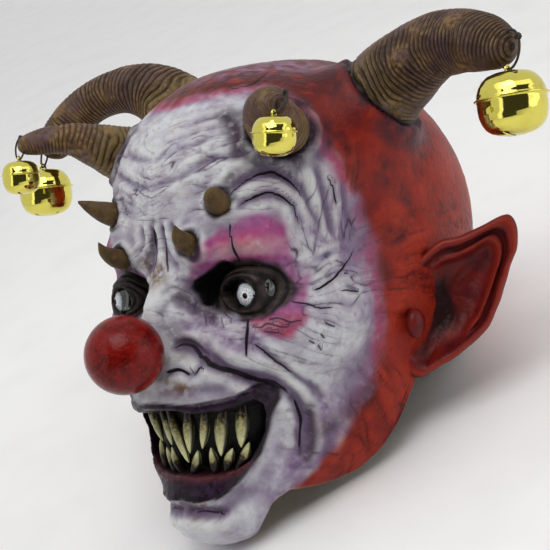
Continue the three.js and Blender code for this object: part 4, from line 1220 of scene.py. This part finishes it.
def polished_brass():
    """Mirror-bright yellow brass with a breath of tarnish."""
    f = Finish("polished_brass", "#e0d566", 0.07, Metallic=1.0)
    f.over(f.times(f.noise(9, 3, 0.5, 0.8), 0.4), "#cbbb4c", 0.13)
    f.over(f.field("inner"), "#3a2f12", 0.4)
    return f.done((f.noise(6, 2, 0.3, 0.7), 0.015))


def waxed_thread():
    """Dark brown waxed thread with its twist."""
    f = Finish("waxed_thread", "#1a1210", 0.6)
    f.over(f.noise(0.8, 2, 0.45, 0.65), "#3a2a22")
    return f.done((f.noise(0.6, 2, 0.3, 0.7), 0.12))


def studio_floor():
    """Smooth pale paper."""
    f = Finish("studio_floor", "#fbfbfb", 0.7)
    f.over(f.noise(60, 2, 0.4, 0.7), "#f7f7f7")
    return f.done((f.noise(1.5, 2, 0.3, 0.7), 0.02))


# Settings

class HeadSettings(bpy.types.PropertyGroup):
    columns: IntProperty(name="Columns", description="Points round the skin", default=340, min=40)
    crown: IntProperty(name="Crown rows", description="Rows over the crown", default=84, min=8)
    face: IntProperty(name="Face rows", description="Rows over the brow and eyes", default=60, min=8)
    jaw: IntProperty(name="Jaw rows", description="Rows from the eyes to the edge", default=100, min=12)
    grain: FloatProperty(name="Grain", description="Depth of the paint's grain, in mm", default=0.09)
    crease: FloatProperty(name="Crease", description="Depth of the finest creases, in mm", default=0.5)


class HornSettings(bpy.types.PropertyGroup):
    sides: IntProperty(name="Sides", description="Points round each horn", default=96, min=12)
    steps: IntProperty(name="Steps", description="Rings along each horn", default=300, min=20)
    spacing: FloatProperty(name="Ridge spacing", description="At the root, in mm", default=5.3)
    depth: FloatProperty(name="Ridge depth", description="At the root, in mm", default=1.5)
    grain: FloatProperty(name="Grain", description="Depth of the fine grain, in mm", default=0.15)


class EarSettings(bpy.types.PropertyGroup):
    columns: IntProperty(name="Columns", description="Points round each ear", default=200, min=24)
    grain: FloatProperty(name="Grain", description="Depth of the grain, in mm", default=0.12)


class NoseSettings(bpy.types.PropertyGroup):
    radius: FloatProperty(name="Radius", description="Of the ball, in metres", default=NOSE_RADIUS / 1000,
                          subtype="DISTANCE", unit="LENGTH")


class EyeSettings(bpy.types.PropertyGroup):
    columns: IntProperty(name="Columns", description="Points round each eye", default=128, min=16)


class TeethSettings(bpy.types.PropertyGroup):
    sides: IntProperty(name="Sides", description="Points round each tooth", default=28, min=8)


class BellSettings(bpy.types.PropertyGroup):
    segments: IntProperty(name="Segments", description="Round each bell", default=128, min=24)


class TieSettings(bpy.types.PropertyGroup):
    sides: IntProperty(name="Sides", description="Points round the thread", default=16, min=6)


class StageSettings(bpy.types.PropertyGroup):
    key: FloatProperty(name="Key light", description="Power of the large light", default=8.0, unit="POWER")
    fill: FloatProperty(name="Fill light", description="Power of the side light", default=3.0, unit="POWER")
    air: FloatProperty(name="Surroundings", description="Strength of the white surroundings", default=0.8)
    tint: FloatVectorProperty(name="Light tint", description="Colour of the lights", subtype="COLOR",
                              default=(1.0, 0.99, 0.97))


# Operators

class CLOWN_OT_head(bpy.types.Operator):
    """Builds the folded skin of the head with its mouth, eyelids and peepholes."""
    bl_idname = "clown.head"
    bl_label = "Head"

    def execute(self, context):
        s = context.scene.clown_head
        verts, faces, base, shape = skin_mesh(s.columns, s.crown, s.face, s.jaw)
        count = shape[0] * shape[1]
        rise = ((verts[:count] - base) * outward(base)).sum(1).reshape(shape)
        # How far the skin stands over its near and its wider surroundings, in mm.
        high, wide = rise - blurred(rise, 3), rise - blurred(rise, 9)
        edge = ease((np.arange(shape[0])[:, None] - shape[0] + 1.6) / 1.6) * np.ones(shape)
        fields = paint(base)
        # hollow and cavity: where the skin lies low, for the painted shade and glaze in hollows and creases.
        fields["hollow"] = np.clip(-wide / 3.0, 0, 1).ravel()
        fields["cavity"] = np.clip(-high / 1.1, 0, 1).ravel()
        # ridge: where the skin stands up, for the painted highlight.
        fields["ridge"] = np.clip(high / 1.1, 0, 1).ravel()
        fields["inside"] = edge.ravel()
        for name, values in fields.items():
            lined = np.full(len(verts) - count, 1.0 if name == "inside" else 0.0)
            fields[name] = np.append(values, lined)
            fields[name][-2] = values[0]  # the outer pole copies a neighbour of the first ring
        head = mesh_object("latex_head", verts, faces, painted_latex(s), fields)
        peephole = catmull_loop(PEEPHOLE, 40)
        cutters = []
        for side in (1, -1):
            ends = [np.insert(peephole * (side, 1), 1, y, axis=1) for y in PEEPHOLE_REACH]
            prism = [f[::-side] for f in prism_faces(len(peephole))]
            cutters.append(mesh_object("cutter", np.vstack(ends), prism, head.data.materials[0]))
        cut_out(head, cutters, "MANIFOLD")
        mesh = head.data
        co = np.empty(len(mesh.vertices) * 3)
        mesh.vertices.foreach_get("co", co)
        at = stand_up(co.reshape(-1, 3))
        # Painted shade for the peepholes: near black on their cut walls and just round them.
        hole = near_polygon(np.abs(at[:, 0]), at[:, 2], peephole)
        store(mesh, "hole", ease((hole + 1.6) / 1.4) * (at[:, 1] < PEEPHOLE_REACH[1]))
        settle(head, "mask")
        return {"FINISHED"}


class CLOWN_OT_horns(bpy.types.Operator):
    """Builds the four ringed horns and the small thorns on the brow."""
    bl_idname = "clown.horns"
    bl_label = "Horns and thorns"

    def execute(self, context):
        s = context.scene.clown_horns
        ringed, smooth = horn_latex(s), thorn_latex(s)
        spikes = [(name, line, widths, 1.0) for name, (line, widths) in HORNS.items()]
        spikes += [(name, line, widths, 0.45) for name, (line, widths) in THORNS.items()]
        for n, (name, line, widths, scale) in enumerate(spikes):
            thorn, rear = "thorn" in name, name.startswith("rear")
            sides = s.sides // 2 if thorn else s.sides
            steps = s.steps // 4 if thorn else s.steps if rear else s.steps * 2 // 3
            t = np.linspace(0, 1, steps)
            line, width = spiky(line, widths, t)
            verts, faces = tube(line, width, sides)
            body = verts[:-2]
            run = np.append(0, np.cumsum(np.linalg.norm(np.diff(line, axis=0), axis=1)))
            along, part = np.repeat(run, sides), np.repeat(t, sides)
            out = unit(body - np.repeat(line, sides, 0))
            # The ridges lie closer together towards the tip, and wander.
            spacing = s.spacing * scale * (1 - 0.42 * part) * (1.0 if rear else 0.8)
            wander = 0.8 * noise(body, 20 * scale + 2, 50 + n) + 0.45 * noise(body, 8 * scale + 1, 60 + n)
            count = along / spacing.mean() * (0.75 + 0.5 * part) + wander
            crease = ripples(count, 0.15) * ease(noise(body, 13 * scale + 1, 70 + n) * 1.4 + 0.85)
            finer = ripples(count * 2.1 + 0.5 * noise(body, 5, 80 + n), 0.16)
            finer = finer * ease(noise(body, 9, 90 + n) * 2 + 0.5)
            if "front" in name:
                crease, finer = 0.75 * crease, 0.5 * finer
            if thorn:
                crease, finer = 0.3 * crease, 0.0 * finer
            depth = s.depth * scale * (1 - 0.5 * part) * ease((1 - part) * 14)
            lift = -depth * (crease + 0.45 * finer) + 0.4 * scale * noise(body, 11, 95 + n) - HORN_BACK
            body, gap = held_in_wall(body + out * lift[:, None], 2.5)
            # groove and ridge carry the painted shade in the grooves and the painted highlight on the ridges;
            # foot is painted shade where a horn or thorn meets the skin.
            fields = {
                "groove": np.clip(1.3 * crease + 0.7 * finer - 0.2, 0, 1),
                "ridge": np.clip(0.9 - 2.2 * crease - finer, 0, 1),
                "root": 0.5 + 0 * gap if thorn else ease((26 - gap) / 18),
                "foot": ease((2.5 - gap) / 3),
                "dusk": (0.5 if name == "rear_left" else 0.15) + 0 * gap,
            }
            fields = {field: np.append(values, (0, 0)) for field, values in fields.items()}
            verts = np.vstack([body, body[:sides].mean(0), verts[-1]])
            title, finish = (name, smooth) if thorn else (f"{name}_horn", ringed)
            settle(mesh_object(title, verts, faces, finish, fields), "mask")
        return {"FINISHED"}


class CLOWN_OT_ears(bpy.types.Operator):
    """Builds the pointed ears with their rim, hollow and tragus."""
    bl_idname = "clown.ears"
    bl_label = "Ears"

    def execute(self, context):
        s = context.scene.clown_ears
        finish = red_latex(s)
        middle = np.array(EAR_MIDDLE, float)
        profile = smooth_line([(k, 0, d) for k, d in EAR_FRONT + EAR_BACK], np.linspace(0, 1, EAR_ROWS))[1:-1]
        share, depth = profile[:, :1], profile[:, 2:]
        flat = middle + share[..., None] * (catmull_loop(EAR_OUTLINE, s.columns) - middle)[None]
        turn = np.arctan2(flat[..., 1] - middle[1], flat[..., 0] - middle[0])
        is_front = (np.arange(len(share)) < EAR_FRONT_ROWS)[:, None]
        rear = ease((np.cos(turn - 0.35) + 0.25) / 0.6)
        fold = 3.6 * bell_curve((share - 0.7 - 0.02 * np.sin(3 * turn)) / 0.055) * rear
        fold -= 2.2 * bell_curve((share - 0.8) / 0.035) * rear
        lines = 0.5 * np.sin(turn * 9 + share * 14) * bell_curve((share - 0.4) / 0.25)
        depth = depth + np.where(is_front, fold + 0.5 * lines, 0)
        grid = (EAR_ORIGIN + flat[..., :1] * EAR_OUT + depth[..., None] * EAR_FACE).reshape(-1, 3)
        grid[:, 2] = flat[..., 1].ravel()
        grid += 0.45 * np.stack([noise(grid, 9, 100 + k) for k in range(3)], -1)
        pole = EAR_ORIGIN + middle[0] * EAR_OUT + (0, 0, middle[1])
        ear = np.vstack([grid, pole + EAR_FRONT[0][1] * EAR_FACE, pole + EAR_BACK[-1][1] * EAR_FACE])
        # Painted shade in the hollow and under the fold, and a painted highlight on the rim and on the fold.
        hollow = ease((0.62 - share) / 0.3) * ease((0.9 - 0.7 * np.cos(turn - 0.2)) / 1.2)
        deep = np.where(is_front, hollow + 0.7 * bell_curve((share - 0.8) / 0.04) * rear, 0.15)
        high = bell_curve((share - 0.94) / 0.05) + 0.8 * bell_curve((share - 0.7) / 0.05) * rear
        high = np.where(is_front, high, 0)
        tragus = globe(TRAGUS_AT, TRAGUS_RADII, 64, 40)
        plain = np.zeros(len(tragus[0]))
        fields = {"deep": np.concatenate([np.clip(deep, 0, 1).ravel(), (1, 0), plain]),
                  "ridge": np.concatenate([np.clip(high, 0, 1).ravel(), (0, 0), plain])}
        verts, faces = merged([(ear, capped(*flat.shape[:2])), tragus])
        for name, side in (("ear_left", 1), ("ear_right", -1)):
            turned = [f[::side] for f in faces]
            settle(mesh_object(name, verts * (side, 1, 1), turned, finish, fields), "mask")
        return {"FINISHED"}


class CLOWN_OT_nose(bpy.types.Operator):
    """Builds the glossy red ball nose."""
    bl_idname = "clown.nose"
    bl_label = "Nose"

    def execute(self, context):
        radius = context.scene.clown_nose.radius * 1000
        verts, faces = globe((0, 0, 0), (radius, radius, radius), 128, 80)
        verts = NOSE_AT + verts * (1 + 0.004 * layered(verts, 12, 120))[:, None]
        settle(mesh_object("ball_nose", verts, faces, ball_red()), "mask")
        return {"FINISHED"}


class CLOWN_OT_eyes(bpy.types.Operator):
    """Builds the two staring eyes."""
    bl_idname = "clown.eyes"
    bl_label = "Eyes"

    def execute(self, context):
        s = context.scene.clown_eyes
        finish = eye_gloss()
        for side, (at, gaze) in EYES.items():
            verts, faces = globe(at, EYE_RADII * EYE_SHARE, s.columns, s.columns * 3 // 4)
            v = verts - np.array(at)
            away = np.linalg.norm(v - np.asarray(gaze) * EYE_SHARE, axis=1)
            ring = bell_curve((np.hypot(v[:, 0] - 5.5, v[:, 2] - 1) - 5.6) / 0.8) * (v[:, 1] < 0)
            fields = {"gaze": away, "glint": ring * ease((away - 8) / 1)}
            settle(mesh_object(f"eye_{side}", verts, faces, finish, fields), "mask")
        return {"FINISHED"}


class CLOWN_OT_teeth(bpy.types.Operator):
    """Builds the pointed, stained teeth."""
    bl_idname = "clown.teeth"
    bl_label = "Teeth"

    def execute(self, context):
        s = context.scene.clown_teeth
        finish = old_teeth()
        t = np.linspace(TOOTH_TAPER[0][0], 1, 34)
        share = np.interp(t, *zip(*TOOTH_TAPER))[:, None]
        a = turns(s.sides)
        edge = np.append(np.tile(np.abs(np.cos(a)) ** 3, len(t)), (0, 0))
        for name, teeth, black in (("teeth_upper", UPPER_TEETH, 1.05), ("teeth_lower", LOWER_TEETH, 1.6)):
            pieces = []
            for n, (root, tip, half) in enumerate(teeth):
                root, tip = np.array(root, float), np.array(tip, float)
                ahead = unit(tip - root)
                side = unit(np.cross(ahead, (0, -1, 0)))
                out = np.cross(side, ahead)
                bend = 0.9 * np.sin(n * 2.3) * np.sin(np.pi * np.clip(t, 0, 1))
                centre = root + np.outer(t, tip - root) + np.outer(bend, side)
                wide, thick = half * share * np.cos(a), TOOTH_THICK * share * np.sin(a)
                verts = centre[:, None] + wide[..., None] * side + thick[..., None] * out
                verts = np.vstack([verts.reshape(-1, 3), centre[0], centre[-1]])
                verts += 0.16 * np.stack([noise(verts, 3, 130 + n + k) for k in range(3)], -1)
                pieces.append((verts, capped(len(t), s.sides)))
            verts, faces = merged(pieces)
            dark = np.append(np.repeat((1 - t) * black, s.sides), (1, 0))
            fields = {"root": np.tile(dark, len(teeth)), "edge": np.tile(edge, len(teeth))}
            settle(mesh_object(name, verts, faces, finish, fields), "mask")
        return {"FINISHED"}


def rigging(spec):
    """The axes and places of a bell, its loop and its tie."""
    big = spec["r"] > 15
    z = unit(spec["up"])
    y = unit(np.cross(z, spec["through"]))
    loop = 2.3 if big else 1.8
    loop_at = np.array(spec["at"]) + z * (0.86 * spec["r"] + 0.45 * loop)
    top = np.array(spec["tie_top"])
    long = (top - loop_at - 0.1 * z) / 2
    along = unit(long)
    through = np.array(spec["through"], float)
    wide = unit(through - along * (through @ along)) * spec["tie_half"]
    return dict(axes=np.stack([np.cross(y, z), y, z]), loop_at=loop_at, loop_up=z * loop, loop_wide=y * loop,
                wire=0.7 if big else 0.55, tie_at=top - long, long=long, wide=wide,
                thread=0.8 if big else 0.65, knot=2.4 if big else 1.8)


def slit(at, axes, r, turn, finish):
    """A cutter for one slit of the cross, with round ends."""
    half = 0.07 * r
    end = 0.65 * r - half
    a = np.linspace(-math.pi / 2, math.pi / 2, 13)
    right = np.stack([end + half * np.cos(a), half * np.sin(a)], -1)
    loop = np.vstack([right, -right])
    if turn:
        loop = np.stack([-loop[:, 1], loop[:, 0]], -1)
    verts = np.vstack([np.insert(loop, 2, level * r, axis=1) for level in (-1.2, -0.3)])
    return mesh_object("cutter", np.asarray(at) + verts @ axes, prism_faces(len(loop)), finish, flatten=-1.0)


class CLOWN_OT_bells(bpy.types.Operator):
    """Builds the four brass bells with their belt, slits and wire loop."""
    bl_idname = "clown.bells"
    bl_label = "Bells"

    def execute(self, context):
        s = context.scene.clown_bells
        finish = polished_brass()
        for name, spec in BELLS.items():
            g = rigging(spec)
            at, r = np.array(spec["at"]), spec["r"]
            outside, shell = lathe(round_profile(BELL_OUTSIDE, 8), s.segments)
            inside, lining_faces = lathe(round_profile(BELL_INSIDE, 5), s.segments)
            pieces = [(outside, shell), (inside, [f[::-1] for f in lining_faces])]
            verts, faces = merged([(at + v * r * BELL_SHARE @ g["axes"], f) for v, f in pieces])
            inner = np.repeat([0.0, 1.0], [len(outside), len(inside)])
            bell = mesh_object(f"brass_bell_{name}", verts, faces, finish, {"inner": inner})
            cut_out(bell, [slit(at, g["axes"], r, turn, finish) for turn in (0, 1)])
            settle(bell, f"bell_{name}")
            verts, faces = hoop(g["loop_at"], g["loop_up"], g["loop_wide"], g["wire"])
            settle(mesh_object(f"bell_loop_{name}", verts, faces, finish), f"bell_{name}")
        return {"FINISHED"}


class CLOWN_OT_ties(bpy.types.Operator):
    """Builds the knotted thread that ties each bell to its horn."""
    bl_idname = "clown.ties"
    bl_label = "Ties"

    def execute(self, context):
        s = context.scene.clown_ties
        finish = waxed_thread()
        for n, (name, spec) in enumerate(BELLS.items()):
            g = rigging(spec)
            thread = g["thread"] * THREAD_SHARE
            ring = hoop(g["tie_at"], g["long"], g["wide"], thread, 96, s.sides, kink=0.05, seed=n)
            knot_at = g["tie_at"] + g["long"] * math.cos(spec["knot"]) + g["wide"] * math.sin(spec["knot"])
            lump, lump_faces = globe((0, 0, 0), np.full(3, g["knot"] * KNOT_SHARE), 48, 32)
            lump = knot_at + lump * (1 + 0.16 * np.sin(lump[:, :1] * 3.1 + lump[:, 1:2] * 2.2)
                                     * np.cos(lump[:, 2:] * 2.7 + lump[:, :1]))
            verts, faces = merged([ring, (lump, lump_faces)])
            settle(mesh_object(f"thread_{name}", verts, faces, finish), f"tie_{name}")
        return {"FINISHED"}


class CLOWN_OT_stage(bpy.types.Operator):
    """Builds the pale floor, the studio light and the picture's viewpoint."""
    bl_idname = "clown.stage"
    bl_label = "Stage"

    def execute(self, context):
        s = context.scene.clown_stage
        scene = context.scene
        mesh = bpy.data.meshes.new("floor")
        mesh.from_pydata([(-4, -4, 0), (4, -4, 0), (4, 4, 0), (-4, 4, 0)], [], [(0, 1, 2, 3)])
        mesh.materials.append(studio_floor())
        floor = bpy.data.objects.new("floor", mesh)
        scene.collection.objects.link(floor)
        a, e, roll = (math.radians(VIEW[k]) for k in ("azimuth", "elevation", "roll"))
        back = np.array([math.sin(a) * math.cos(e), -math.cos(a) * math.cos(e), math.sin(e)])
        right = np.array([math.cos(a), math.sin(a), 0])
        up = np.cross(back, right)
        right, up = right * math.cos(roll) + up * math.sin(roll), up * math.cos(roll) - right * math.sin(roll)
        axes = [Vector(lay_turn(v)) for v in (right, up, back)]
        data = bpy.data.cameras.new("viewpoint")
        data.sensor_width = 36
        data.lens = VIEW["focal"] * 36 / PICTURE
        data.shift_x = -(VIEW["centre"][0] - PICTURE / 2) / PICTURE
        data.shift_y = (VIEW["centre"][1] - PICTURE / 2) / PICTURE
        camera = bpy.data.objects.new("viewpoint", data)
        at = Vector(lay_down(AIM + back * VIEW["distance"]))
        camera.matrix_world = Matrix.Translation(at) @ Matrix(axes).transposed().to_4x4()
        scene.collection.objects.link(camera)
        scene.camera = camera
        look = Vector(lay_down(AIM))
        r, u, b = axes
        lamp(scene, "key", look + b * 1.0 + u * 0.9 - r * 0.35, look, 0.9, s.key, s.tint)
        lamp(scene, "fill", look + b * 0.5 + u * 0.1 + r * 1.3, look, 0.9, s.fill, s.tint)
        surroundings(scene, s, b, u)
        scene.view_settings.view_transform = "Standard"
        return {"FINISHED"}


def lamp(scene, name, at, look, side, power, tint):
    """A square light that looks at a place."""
    data = bpy.data.lights.new(name, "AREA")
    data.size = side
    data.energy = power
    data.color = tint
    made = bpy.data.objects.new(name, data)
    made.location = at
    made.rotation_euler = (look - at).to_track_quat("-Z", "Y").to_euler()
    scene.collection.objects.link(made)


def surroundings(scene, settings, ahead, up):
    """A white tent with a dark opening where the picture is taken from, which the bells mirror."""
    world = bpy.data.worlds.new("tent")
    world.use_nodes = True
    tree = world.node_tree
    tree.nodes.clear()
    way = add_node(tree, "ShaderNodeTexCoord").outputs["Generated"]
    side = ahead.cross(up)

    def reach(axis):
        dot = add_node(tree, "ShaderNodeVectorMath", {0: way, 1: tuple(axis)}, operation="DOT_PRODUCT")
        return dot.outputs["Value"]

    def near(source, width):
        flat = add_node(tree, "ShaderNodeMath", {0: source}, operation="ABSOLUTE").outputs[0]
        return add_node(tree, "ShaderNodeMapRange", {0: flat, 1: width + 0.02, 2: width - 0.02}).outputs[0]

    def window(margin):
        inside = add_node(tree, "ShaderNodeMapRange", {0: reach(ahead), 1: 0.1, 2: 0.16}).outputs[0]
        for axis in (side, up):
            inside = add_node(tree, "ShaderNodeMath", {0: inside, 1: near(reach(axis), WINDOW + margin)},
                              operation="MULTIPLY").outputs[0]
        return inside

    white = {0: window(WINDOW_FRAME), 6: colour("#f4f4f4"), 7: (1.7, 1.7, 1.7, 1)}
    framed = add_node(tree, "ShaderNodeMix", white, data_type="RGBA").outputs[2]
    mix = add_node(tree, "ShaderNodeMix", {0: window(0.0), 6: framed, 7: colour("#444342")}, data_type="RGBA")
    light = add_node(tree, "ShaderNodeBackground", {0: mix.outputs[2], 1: settings.air})
    out = add_node(tree, "ShaderNodeOutputWorld")
    tree.links.new(light.outputs[0], out.inputs[0])
    scene.world = world


class CLOWN_PT_panel(bpy.types.Panel):
    """Lists the pieces of the mask."""
    bl_idname = "CLOWN_PT_panel"
    bl_label = "Clown mask"
    bl_space_type = "VIEW_3D"
    bl_region_type = "UI"
    bl_category = "Clown mask"

    def draw(self, context):
        for operator in OPERATORS:
            self.layout.operator(operator.bl_idname)


SETTINGS = {"clown_head": HeadSettings, "clown_horns": HornSettings, "clown_ears": EarSettings,
            "clown_nose": NoseSettings, "clown_eyes": EyeSettings, "clown_teeth": TeethSettings,
            "clown_bells": BellSettings, "clown_ties": TieSettings, "clown_stage": StageSettings}
OPERATORS = [CLOWN_OT_head, CLOWN_OT_horns, CLOWN_OT_ears, CLOWN_OT_nose, CLOWN_OT_eyes, CLOWN_OT_teeth,
             CLOWN_OT_bells, CLOWN_OT_ties, CLOWN_OT_stage]


def register():
    for kind in [*SETTINGS.values(), *OPERATORS, CLOWN_PT_panel]:
        bpy.utils.register_class(kind)
    for name, kind in SETTINGS.items():
        setattr(bpy.types.Scene, name, PointerProperty(type=kind))


def unregister():
    for name in SETTINGS:
        delattr(bpy.types.Scene, name)
    for kind in [CLOWN_PT_panel, *reversed(OPERATORS), *SETTINGS.values()]:
        bpy.utils.unregister_class(kind)


def main():
    register()
    bpy.ops.clown.head()
    bpy.ops.clown.horns()
    bpy.ops.clown.ears()
    bpy.ops.clown.nose()
    bpy.ops.clown.eyes()
    bpy.ops.clown.teeth()
    bpy.ops.clown.bells()
    bpy.ops.clown.ties()
    bpy.ops.clown.stage()


if __name__ == "__main__":
    main()
